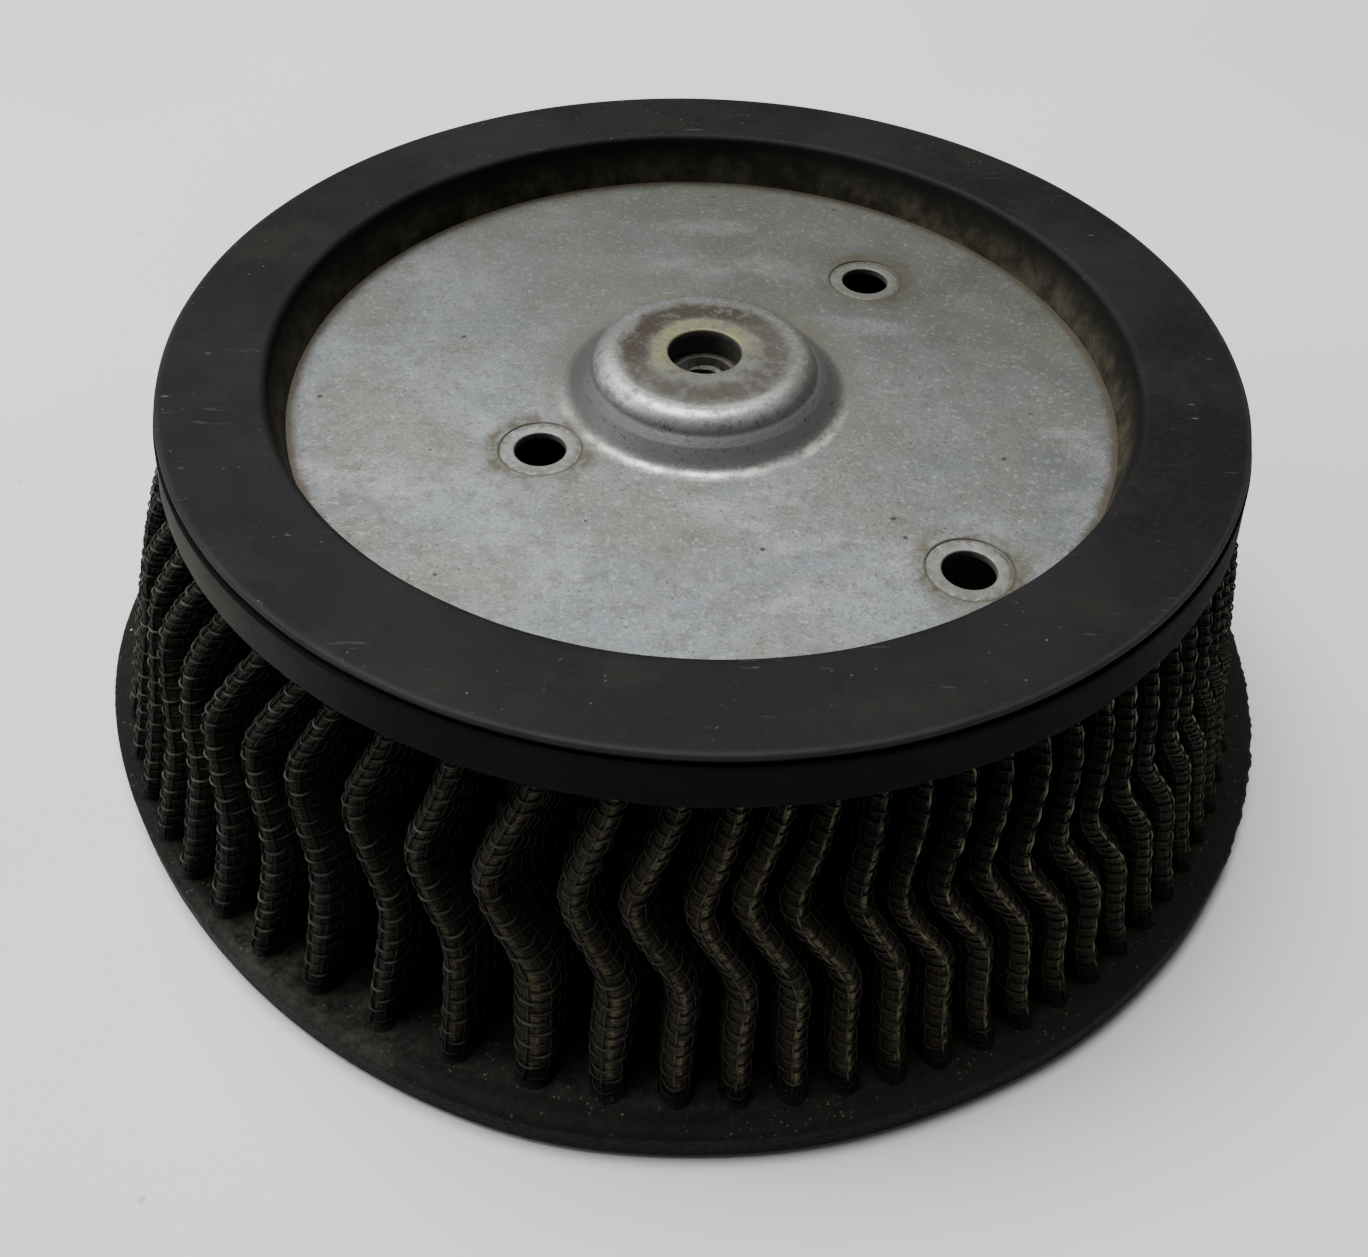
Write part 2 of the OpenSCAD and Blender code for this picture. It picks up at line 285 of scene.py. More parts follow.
def pleat_noise(seed, count, orders):
    """Small random waves up each pleat, one set for each pleat: noise(pleat, z) is about 1 high."""
    rng = np.random.default_rng(seed)
    size = rng.normal(0, 1, (count, len(orders))) / np.sqrt(np.array(orders) * len(orders))
    phase = rng.uniform(0, TAU, (count, len(orders)))

    def noise(k, z):
        up = (z - WALL_LOW) / (WALL_HIGH - WALL_LOW) * math.pi
        return sum(size[k, i] * np.sin(n * up + phase[k, i]) for i, n in enumerate(orders))

    return noise


crest_sway = pleat_noise(11, PLEATS, (1, 2, 4, 7))
crest_rise = pleat_noise(12, PLEATS, (1, 3, 6))
crest_width = pleat_noise(13, PLEATS, (1, 2, 5, 8))
root_sway = pleat_noise(14, PLEATS + 1, (1, 2, 4))
flank_bulge = pleat_noise(15, 2 * PLEATS, (1, 2, 4))
kink_rng = np.random.default_rng(16)
KINK_SIZE = 1 + 0.08 * kink_rng.normal(0, 1, PLEATS + 1)
KINK_RISE = 0.5 * kink_rng.normal(0, 1, PLEATS + 1)
# How far the small unevenness moves crests and roots sideways, crests outwards and flanks out of their plane
CREST_STRAY, ROOT_STRAY, CREST_RISE, FLANK_BULGE = 0.36, 0.25, 0.24, 0.3


def hump(a, middle, width, power=2):
    """1 at the angle middle and falling to 0 on both sides of it, all in degrees but a."""
    off = (np.degrees(a) - middle + 180) % 360 - 180
    return np.exp(-(np.abs(off / width) ** power))


def twist(a):
    """How far a pleat at angle a is twisted round the element just under the top ring."""
    even = -1 - 3.6 * np.cos(a) + 0.35 * np.sin(a) - 0.35 * np.cos(2 * a)
    return np.radians(even + 1.4 * hump(a, -133, 8) - 1.4 * hump(a, -113, 9))


def lean(a, z):
    """How far the pleats on the near side lean round, on top of their twist and their kink."""
    near = hump(a, -38, 60, 6)
    more = 0.35 * near + 0.6 * hump(a, -89, 7) + 1.1 * hump(a, -117, 3.5)
    more = more + 0.5 * hump(a, -130, 5) + 0.4 * hump(a, -142, 4)
    return np.radians(0.6 * near + lean_share(z) * more)


def sway(a, k, z):
    """The angle by which pleat or root k, whose foot is at angle a, has moved round at height z."""
    knee_lift = 3.2 * hump(a, -119, 7) - 1.9 * hump(a, -55, 13) + KINK_RISE[k]
    return twist_share(z) * twist(a) - knee_share(z - knee_lift) * KNEE_KINK * KINK_SIZE[k] + lean(a, z)


def loose(z):
    """How freely the pleats move at height z: 0 where the rings hold them."""
    return np.clip((z - BASE_H) / 9, 0, 1) * np.clip((TOP_RING_LOW + 3 - z) / 7, 0.15, 1)


def wall(s, z, t):
    """Points of the pleated wall: s along the strip from the seam, z up, and t > 0 outside the middle of the
    stack, all in millimetres."""
    s, z, t = np.broadcast_arrays(s, z, t)
    k = np.clip(np.floor(s / PLEAT_LEN), 0, PLEATS - 1).astype(int)
    x = s - (k + 0.5) * PLEAT_LEN
    side, d = np.where(x < 0, -1.0, 1.0), np.abs(x)
    root = k + (side > 0)
    at_seam = (root == 0) | (root == PLEATS)
    free = loose(z)

    crest_r = crest_radius(z) + CREST_RISE * crest_rise(k, z) * free
    crest_r = crest_r + PUSH * hump(CREST_ANGLE[k], -170, 43, 4) * push_share(z)
    pointed = 1 + 0.5 * hump(CREST_ANGLE[k], -12, 62, 4)
    crest_a = CREST_ANGLE[k] + sway(CREST_ANGLE[k], k, z) + CREST_STRAY * crest_sway(k, z) * free / crest_r
    swell = sum(extra * (k == which) for which, extra in SWOLLEN.items()) * swollen_at(z)
    crest_w = crest_half_w(z) + np.maximum(0.16 * crest_width(k, z), -0.1) + swell + t
    crest_mid = crest_r - CREST_CAP
    root_r = root_radius(z)
    root_a = ROOT_ANGLE[root] + ROOT_FOLLOW * sway(ROOT_ANGLE[root], root, z)
    root_a = root_a + ROOT_STRAY * root_sway(root, z) * free / root_r
    root_w = np.where(at_seam, SEAM_HALF_W, ROOT_HALF_W) - t
    root_mid = root_r + ROOT_CAP

    # the crest's cap
    turn = np.clip(d / (CREST_ARC / 2), 0, 1) * math.pi / 2
    r = crest_mid + (CREST_CAP + t) * np.cos(turn) ** pointed
    a = crest_a + side * crest_w * np.sin(turn) / r
    cap = polar(r, a)
    # the flank, straight between the two caps but for a slight bulge
    f = np.clip((d - CREST_ARC / 2) / FLANK, 0, 1)
    low_a = root_a - side * root_w / root_mid
    foot = polar(root_mid, low_a)
    bulge = FLANK_BULGE * np.sin(math.pi * f) * flank_bulge(2 * k + (side > 0), z) * free
    across = np.stack([-np.sin(crest_a), np.cos(crest_a)], axis=-1)
    flank = cap + (foot - cap) * f[..., None] + across * bulge[..., None]
    # the root's cap, or the free end at the seam
    down = np.clip((d - CREST_ARC / 2 - FLANK) / ROOT_ARC, 0, 1)
    turn = (1 - down) * math.pi / 2
    r = np.where(at_seam, root_mid - ROOT_CAP * down, root_mid - (ROOT_CAP - t) * np.cos(turn))
    a = root_a - side * root_w * np.where(at_seam, 1, np.sin(turn)) / r
    end = polar(r, a)
    xy = np.where((down > 0)[..., None], end, flank)
    return np.concatenate([xy, z[..., None]], axis=-1)


# Heights of the wall's rows: v is the length up a crest, which the wires keep their pitch along
KNEE_R = 78  # a crest's radius at its knee
fine_z = np.linspace(WALL_LOW, WALL_HIGH, 500)
rise = np.sqrt(
    1 + np.gradient(crest_radius(fine_z), fine_z) ** 2
    + (KNEE_KINK * KNEE_R * np.gradient(knee_share(fine_z), fine_z)) ** 2
)
fine_v = np.concatenate([[0], np.cumsum((rise[1:] + rise[:-1]) / 2 * np.diff(fine_z))])
WALL_LEN = fine_v[-1]


def height(v):
    return np.interp(v, fine_v, fine_z)


# ---- The stack's layers ----

SHEET_T, SHEET_GAP = 0.26, 0.05
STACK_T = 5 * SHEET_T + 4 * SHEET_GAP
PITCH, WIRE_R = 1.78, 0.15
RIDGE_OFF = 0.25  # how far the ridge of a crest, with its wear and painted highlight, lies beside its middle


def layer_side(layer):
    """The outer side of a layer of the stack; layer 0 is the outermost."""
    return STACK_T / 2 - layer * (SHEET_T + SHEET_GAP)


def strip_columns(cap, flank, root):
    """Places along the strip, with so many steps over half a crest's cap, down a flank and over half a
    root's cap."""
    half = np.concatenate([
        np.linspace(0, CREST_ARC / 2, cap, endpoint=False),
        CREST_ARC / 2 + np.linspace(0, FLANK, flank, endpoint=False),
        CREST_ARC / 2 + FLANK + np.linspace(0, ROOT_ARC, root, endpoint=False),
    ])
    one = np.concatenate([[-PLEAT_LEN / 2], -half[:0:-1], half]) + PLEAT_LEN / 2
    every = (np.arange(PLEATS)[:, None] * PLEAT_LEN + one).ravel()
    return np.append(every, STRIP_LEN)


def sheet_rows(count):
    """Lengths up the wall for a sheet's rows, closer together round the knee."""
    even = np.linspace(0, 1, 400)
    weight = 0.6 + np.exp(-(((height(even * WALL_LEN) - KNEE_Z) / 8) ** 2))
    place = np.cumsum(weight) - weight[0]
    return np.interp(np.linspace(0, place[-1], count), place, even) * WALL_LEN


def make_sheet(name, layer, columns, rows):
    """A ply of the stack as a closed thin solid, with uvs in millimetres for its weave."""
    outer = layer_side(layer)
    sides = [wall(columns[None, :], height(rows)[:, None], t) for t in (outer, outer - SHEET_T)]
    points, faces = thick_skin(*sides)
    s, v = np.meshgrid(columns, rows)
    weave = np.tile(np.stack([s.ravel(), v.ravel()], axis=-1), (2, 1))
    # for baking, the strip is cut into rows of so many pleats, the outer side above the inner one
    per_row = 14
    length, deep = per_row * PLEAT_LEN, 2 * PLEATS / per_row
    at = weave[faces]
    row = np.clip(at[..., 0].mean(1) // length, 0, PLEATS // per_row - 1)
    skin = (len(rows) - 1) * (len(columns) - 1)
    on_inside = (np.arange(len(faces)) >= skin) & (np.arange(len(faces)) < 2 * skin)
    bake = np.stack([
        (at[..., 0] - row[:, None] * length) / length,
        (at[..., 1] / WALL_LEN * 0.94 + 0.03 + (row + on_inside * PLEATS / per_row)[:, None]) / deep,
    ], axis=-1)
    return make_mesh(name, points, [faces], {"Weave": weave, "OFBake": bake.reshape(-1, 2)}, sharp=60)


def tubes(paths, normals, radius, sides):
    """Points and quads of tubes along paths, an array (wires, samples, 3), with closed ends."""
    along = np.gradient(paths, axis=1)
    along /= np.linalg.norm(along, axis=-1, keepdims=True)
    across = np.cross(along, normals)
    across /= np.linalg.norm(across, axis=-1, keepdims=True)
    up = np.cross(across, along)
    turn = (np.arange(sides) + 0.5) * TAU / sides
    points = paths[:, :, None] + radius * (
        np.cos(turn)[:, None] * across[:, :, None] + np.sin(turn)[:, None] * up[:, :, None]
    )
    wires, samples = paths.shape[:2]
    one = grid_faces(samples, sides, False, True)
    quads = (np.arange(wires)[:, None, None] * samples * sides + one).reshape(-1, 4)
    cap = np.arange(sides)
    ends = np.stack([cap[::-1], (samples - 1) * sides + cap])
    caps = (np.arange(wires)[:, None, None] * samples * sides + ends).reshape(-1, sides)
    return points.reshape(-1, 3), quads[:, ::-1], caps[:, ::-1], turn


RUB_ROWS = 64
rub_noise = np.random.default_rng(23).uniform(0, 1, (PLEATS, RUB_ROWS, 2))


def rub_and_highlight(s, v, lengthwise):
    """How bright wires are at places (s, v) of the strip, from wear and from painted highlights. The wires
    across a crest are brightest on the left of the filter, and those along it near its ridge on the right,
    where the light catches them."""
    k = np.clip(s // PLEAT_LEN, 0, PLEATS - 1).astype(int)
    off = s - (k + 0.5) * PLEAT_LEN
    right = np.cos(CREST_ANGLE[k])
    chance = rub_noise[k, np.clip(v / PITCH, 0, RUB_ROWS - 1).astype(int), int(lengthwise)]
    if lengthwise:
        ridge = np.exp(-(((off - RIDGE_OFF) / 0.8) ** 2))
        return ridge * np.clip(0.35 + 0.75 * right, 0.12, 1) * (0.45 + 0.55 * chance)
    near = np.clip(1.25 - np.abs(off) / (CREST_ARC / 2), 0, 1)
    return near * np.clip(0.17 - 0.8 * right, 0.15, 0.85) * (0.25 + 0.75 * chance)


def woven(name, first, last, side, crest_side, sides, half_steps):
    """The woven wires of one stretch of the strip, from pleat first up to pleat last, at the middle depth
    side of the stack. crest_side is +1 if the crests' caps are what shows and -1 for the roots'. The layer
    Lift holds how far out of the weave each point stands, and how bright it is from wear and painted
    highlights."""
    wires, wefts = int(STRIP_LEN / PITCH), int(WALL_LEN / PITCH)
    gap, step = STRIP_LEN / (wires + 1), WALL_LEN / wefts
    lo, hi = first * PLEAT_LEN, last * PLEAT_LEN
    slack, tug = waves(21, 60, 300, 14), waves(22, 3, 40, 9)

    def drift(s):
        """How far up the wires across the strip have strayed at place s."""
        return 0.2 * slack(s * TAU / STRIP_LEN)

    def strands(s, v, wave, rub):
        z = height(v)
        t = side + WIRE_R * wave
        n = wall(s, z, t + 0.05) - wall(s, z, t - 0.05)
        n /= np.linalg.norm(n, axis=-1, keepdims=True)
        points, quads, caps, turn = tubes(wall(s, z, t), n, WIRE_R, sides)
        lift = 0.5 + 0.3 * wave[..., None] + 0.2 * np.sin(turn)
        rub = np.broadcast_to(rub, s.shape)[..., None] + 0 * turn
        return points, quads, caps, turn, np.stack([lift, rub], axis=-1).reshape(-1, 2)

    def flat_uv(across, up):
        return np.stack([across / (hi - lo), up / WALL_LEN], axis=-1).reshape(-1, 2)

    aside = 0.25 * PITCH

    # wires that run up the wall
    place = (np.arange(wires + 1) + 0.5) * gap
    mine = np.flatnonzero((place >= lo) & (place < hi))
    per = 2 if half_steps else 1
    up = np.concatenate([[0.02], (np.arange(wefts * per - (per - 1)) / per + 0.5) * step, [WALL_LEN - 0.02]])
    stray = 0.12 * np.sin(up / 9.0 + mine[:, None]) + 0.1 * np.sin(up / 4.1 + 2.3 * mine[:, None])
    s = place[mine][:, None] + stray
    v = np.clip(up + drift(s) * (up > 1) * (up < WALL_LEN - 1), 0, WALL_LEN)
    wave = np.cos(math.pi * (up / step - 0.5)) * (-1.0) ** mine[:, None]
    warp, warp_q, warp_c, turn, warp_lift = strands(s, v, wave, rub_and_highlight(s, v, True))
    warp_uv = flat_uv(s[..., None] - lo + aside * np.cos(turn), v[..., None] + 0 * turn)

    # wires that run along the strip, with points at quarters of the gap where they bend most
    index = np.arange(4 * (wires + 1) + 1)
    quarter = index / 4 * gap
    local = np.abs(quarter % PLEAT_LEN - PLEAT_LEN / 2)
    near = local < CREST_ARC / 2 + 1 if crest_side > 0 else local > PLEAT_LEN / 2 - ROOT_ARC - 1
    keep = near | (index % 2 == 0) if half_steps else near & (index % 2 == 0) | (index % 4 == 2)
    along = quarter[keep & (quarter >= lo - gap) & (quarter <= hi + gap)]
    along = np.unique(np.clip(along, lo, hi))
    along = along[(along > 0.05) & (along < STRIP_LEN - 0.05)]
    s = np.broadcast_to(along, (wefts, len(along)))
    row = np.arange(wefts)[:, None]
    v = (row + 0.5) * step + drift(s) + 0.1 * tug(s * TAU / STRIP_LEN + row * 1.7)
    wave = -np.cos(math.pi * (s / gap - 0.5)) * (-1.0) ** row
    weft, weft_q, weft_c, turn, weft_lift = strands(s, v, wave, rub_and_highlight(s, v, False))
    weft_uv = flat_uv(s[..., None] - lo + 0 * turn, v[..., None] + aside * np.cos(turn))

    n = len(warp)
    faces, caps = [np.concatenate([warp_q, weft_q + n])], np.concatenate([warp_c, weft_c + n])
    if sides == 4:
        faces[0] = np.concatenate([faces[0], caps])
    else:
        faces.append(caps)
    uvs = {
        "OFBake": np.clip(np.concatenate([warp_uv, weft_uv]) * 0.98 + 0.01, 0, 1),
        "Lift": np.concatenate([warp_lift, weft_lift]),
    }
    return make_mesh(name, np.concatenate([warp, weft]), faces, uvs)


# ---- Materials ----

AROUND_R = 70  # the radius at which lengths round the Z axis are measured


class Value:
    """An output of a node, with * + - and span() for the nodes that reckon with it."""

    def __init__(self, shader, socket):
        self.shader, self.socket = shader, socket

    def __mul__(self, other):
        return self.shader.math("MULTIPLY", self, other)

    def __add__(self, other):
        return self.shader.math("ADD", self, other)

    def __sub__(self, other):
        return self.shader.math("SUBTRACT", self, other)

    def span(self, low, high, to_low=0.0, to_high=1.0):
        """The value taken from low..high to to_low..to_high, smoothly and with no overshoot."""
        inputs = enumerate((self, low, high, to_low, to_high))
        return self.shader.add("ShaderNodeMapRange", inputs, interpolation_type="SMOOTHSTEP")[0]


class Shader:
    """A material's node tree, with short ways to add nodes and link them. east, north, height and out, the
    distance from the Z axis, are in millimetres."""

    def __init__(self, name):
        self.material = bpy.data.materials.new(name)
        self.material.use_nodes = True
        self.tree = self.material.node_tree
        self.bsdf = self.tree.nodes["Principled BSDF"]
        self.place = self.add("ShaderNodeTexCoord")[3]  # object coordinates, in metres
        self.east, self.north, self.height = (v * (1 / MM) for v in self.split(self.place))
        self.out = self.away(0, 0)

    def add(self, kind, inputs=(), **settings):
        """Adds a node, and gives its outputs."""
        node = self.tree.nodes.new(kind)
        for key, value in settings.items():
            setattr(node, key, value)
        for key, value in dict(inputs).items():
            self.put(node.inputs[key], value)
        return [Value(self, socket) for socket in node.outputs]

    def put(self, socket, value):
        """Links a socket to a value, or sets it to a number or a colour."""
        if isinstance(value, Value):
            self.tree.links.new(value.socket, socket)
        else:
            socket.default_value = value

    def set(self, **inputs):
        """Sets or links the shader's own sockets, named with _ for a space."""
        for key, value in inputs.items():
            self.put(self.bsdf.inputs[key.replace("_", " ")], value)

    def math(self, operation, *values):
        return self.add("ShaderNodeMath", enumerate(values), operation=operation)[0]

    def split(self, vector):
        return self.add("ShaderNodeSeparateXYZ", {"Vector": vector})

    def uv(self, layer):
        return self.split(self.add("ShaderNodeUVMap", uv_map=layer)[0])

    def noise(self, size, detail=2.0, rough=0.55, at=None):
        """Noise from 0 to 1 with features of about size millimetres."""
        inputs = {"Vector": at or self.place, "Scale": 1 / (size * MM), "Detail": detail, "Roughness": rough}
        return self.add("ShaderNodeTexNoise", inputs)[0]

    def cells(self, size, at=None):
        """Distance from scattered points about size millimetres apart, from 0 to about 1."""
        return self.add("ShaderNodeTexVoronoi", {"Vector": at or self.place, "Scale": 1 / (size * MM)})[0]

    def mix(self, share, under, over):
        """The colour a share of the way from under to over."""
        under, over = ((*colour, 1) if isinstance(colour, tuple) else colour for colour in (under, over))
        return self.add("ShaderNodeMix", {0: share, 6: under, 7: over}, data_type="RGBA")[2]

    def coats(self, colour, *coats):
        """A colour with coats over it, the lowest first: each is the share that it covers, and its colour."""
        for share, paint in coats:
            colour = self.mix(share, colour, paint)
        return colour

    def away(self, x, y):
        """Distance in millimetres from the upright line through (x, y) millimetres."""
        dx, dy = self.east - x, self.north - y
        return self.math("SQRT", dx * dx + dy * dy)

    def stretched(self, x, y):
        """The place scaled along x and y."""
        return self.add("ShaderNodeMapping", {"Vector": self.place, "Scale": (x, y, 1)})[0]

    def around(self, across, along):
        """A place whose x runs out from the Z axis and whose y runs round it, each scaled."""
        turn = self.math("ARCTAN2", self.north, self.east) * (MM * AROUND_R * along)
        inputs = {"X": self.out * (MM * across), "Y": turn, "Z": self.height * MM}
        return self.add("ShaderNodeCombineXYZ", inputs)[0]

    def bumps(self, *layers):
        """Bumps the surface, the lowest layer first: each is its height from 0 to 1, how many millimetres
        that is, and its strength."""
        under = {}
        for height, deep, strength in layers:
            inputs = {"Height": height, "Distance": deep * MM, "Strength": strength, **under}
            under = {"Normal": self.add("ShaderNodeBump", inputs)[0]}
        self.set(**under)


def top_rubber():
    m = Shader("satin_rubber")
    out, z = m.out, m.height
    cloudy, fine = m.noise(26, 4, 0.6), m.noise(0.7, 3, 0.6)
    # the side is black, with dust under the groove and painted light, both strongest on the left
    left = m.east.span(-18, -74)
    dust_and_light = left * left * m.noise(7, 4, 0.6).span(0.3, 0.7, 0.6, 1) * z.span(TOP_Z - 1.7, TOP_Z - 2.0)
    light_dust = z.span(TOP_Z - 6.6, TOP_Z - 2.5) * m.noise(9, 4, 0.7).span(0.4, 0.7, 0.1, 0.5)
    # painted shade in the groove under the face's edge
    groove_shade = z.span(TOP_Z - 2.0, TOP_Z - 1.6) * out.span(FACE_R - 2.5, FACE_R - 1.5)
    # brown dirt low on the recess's wall
    dirt = out.span(RECESS_R + 0.2, RECESS_R - 0.4) * z.span(TOP_Z - 1, TOP_Z - 6)
    dirt = dirt * m.noise(5, 4, 0.7).span(0.35, 0.7, 0.2, 1)
    side = m.coats(
        (0.0032, 0.0032, 0.0033),
        (dust_and_light, (0.078, 0.073, 0.064)),
        (light_dust * 0.6, (0.009, 0.0085, 0.0075)),
        (groove_shade, (0.0035, 0.0035, 0.0035)),
        (out.span(RECESS_R + 0.4, RECESS_R - 0.1, 0, 0.8), (0.011, 0.0105, 0.0095)),
        (dirt * 0.85, (0.080, 0.072, 0.050)),
    )
    # the face is grey with handling, with pale specks and short scuffs
    specks = m.cells(1.6).span(0.13, 0.05) * m.noise(8, 3).span(0.44, 0.62)
    specks = specks * m.noise(1.7, 2).span(0.35, 0.65, 0.05, 0.6)
    hairs = m.noise(1.0, 3, 0.6, m.stretched(0.12, 1.0)).span(0.64, 0.70)
    hairs = hairs * m.noise(14, 3).span(0.45, 0.6, 0, 0.5)
    scuffs = m.cells(3.4, m.stretched(0.35, 1.1)).span(0.07, 0.03) * m.noise(17, 2).span(0.5, 0.6)
    # a paler band at the face's outer edge: wear, with a painted highlight
    edge = out.span(FACE_R - 1.1, FACE_R - 0.3) * m.noise(12, 4, 0.7).span(0.25, 0.6, 0.3, 1)
    face = m.coats(
        (0.0078, 0.0080, 0.0094),
        (cloudy.span(0.35, 0.7), (0.0138, 0.0140, 0.0160)),
        (fine.span(0.45, 0.75, 0, 0.35), (0.019, 0.019, 0.019)),
        (m.noise(15, 4, 0.65).span(0.5, 0.68, 0, 0.5), (0.0185, 0.0175, 0.0125)),
        (specks, (0.15, 0.145, 0.13)),
        (hairs, (0.050, 0.050, 0.050)),
        (scuffs * 0.5, (0.15, 0.145, 0.135)),
        (edge * 0.5, (0.036, 0.036, 0.035)),
    )
    on_face = z.span(TOP_Z - 0.75, TOP_Z - 0.4)
    rough = (cloudy * 0.6 + fine * 0.4).span(0.3, 0.7, 0.52, 0.68) + on_face.span(0, 1, 0.25, 0)
    m.set(Base_Color=m.mix(on_face, side, face), Roughness=rough, Specular_IOR_Level=0.085)
    marks = m.noise(3, 3, 0.6, m.around(1, 0.12)).span(0.3, 0.7)
    m.bumps((fine, 0.05, 0.5), (marks, 0.04, 0.5), (m.noise(11, 2), 0.25, 0.5))
    return m.material


def base_rubber():
    m = Shader("dusty_rubber")
    out, z, east = m.out, m.height, m.east
    fine, coarse = m.noise(0.6, 4, 0.7), m.noise(1.9, 5, 0.75)
    feet, rim = 87.0, 90.0  # where the pleats' feet and the ring's rim are
    # dust lies thickest on the near left; the same masks paint the left lighter and the front and right
    # darker, as painted light and shade
    thick = east.span(-30, -45) * east.span(-74, -58) * m.north.span(-20, -50)
    west_dust_and_light = (thick * 0.62 + east.span(-15, -45, 0.05, 0.20)) * east.span(-70, -86, 1, 0.5)
    on_top = z.span(BASE_H - 1.1, BASE_H - 0.5) * z.span(BASE_H + 1.2, BASE_H + 0.3)
    dust_and_light = on_top * coarse.span(0.36, 0.62) * m.noise(9, 3).span(0.3, 0.6, 0.35, 1) * west_dust_and_light
    near_feet = on_top * out.span(feet + 1.8, feet - 0.2) * coarse.span(0.36, 0.64, 0.15, 0.75)
    # the rim's outer side gets painted shade except on the left, and its lip a painted highlight, strongest
    # on the left
    side = out.span(rim - 0.8, rim + 0.2) * z.span(BASE_H - 0.4, BASE_H - 1.6)
    lip = out.span(rim - 1.2, rim) * z.span(BASE_H - 2.0, BASE_H - 0.6)
    lip = lip * m.noise(6, 4, 0.7).span(0.3, 0.7, 0.3, 1) * (west_dust_and_light * 0.45 + 0.03)
    # grit and yellowish grains caught between the feet of the pleats
    grit = m.cells(1.1).span(0.24, 0.09) * m.noise(4, 3).span(0.45, 0.56) * on_top
    grains = m.cells(0.8).span(0.22, 0.1) * m.noise(9, 2).span(0.54, 0.64)
    grains = grains * m.noise(1.3, 2).span(0.42, 0.62) * on_top
    sparks = m.cells(5.0).span(0.055, 0.035) * m.noise(16, 2).span(0.48, 0.56) * on_top
    colour = m.coats(
        (0.0034, 0.0034, 0.0033),
        (m.noise(18, 4, 0.6).span(0.35, 0.7), (0.0062, 0.0060, 0.0056)),
        (east.span(0, 45, 0, 0.8) * out.span(feet - 0.8, feet + 1.0), (0.0098, 0.0096, 0.0088)),
        (dust_and_light, (0.038, 0.036, 0.027)),
        (near_feet * east.span(-45, -20), (0.0165, 0.0160, 0.0130)),
        (side * east.span(-45, -20, 0, 0.8), (0.0026, 0.0025, 0.0026)),
        (lip, (0.050, 0.048, 0.043)),
        (grit * 0.5, (0.09, 0.085, 0.06)),
        (grains * 0.75, (0.20, 0.165, 0.075)),
        (sparks, (0.30, 0.27, 0.17)),
    )
    m.set(Base_Color=colour, Roughness=fine.span(0.3, 0.7, 0.62, 0.85), Specular_IOR_Level=0.1)
    m.bumps((fine, 0.10, 0.8), (coarse, 0.35, 0.8), (m.noise(9, 3), 0.3, 0.6))
    return m.material


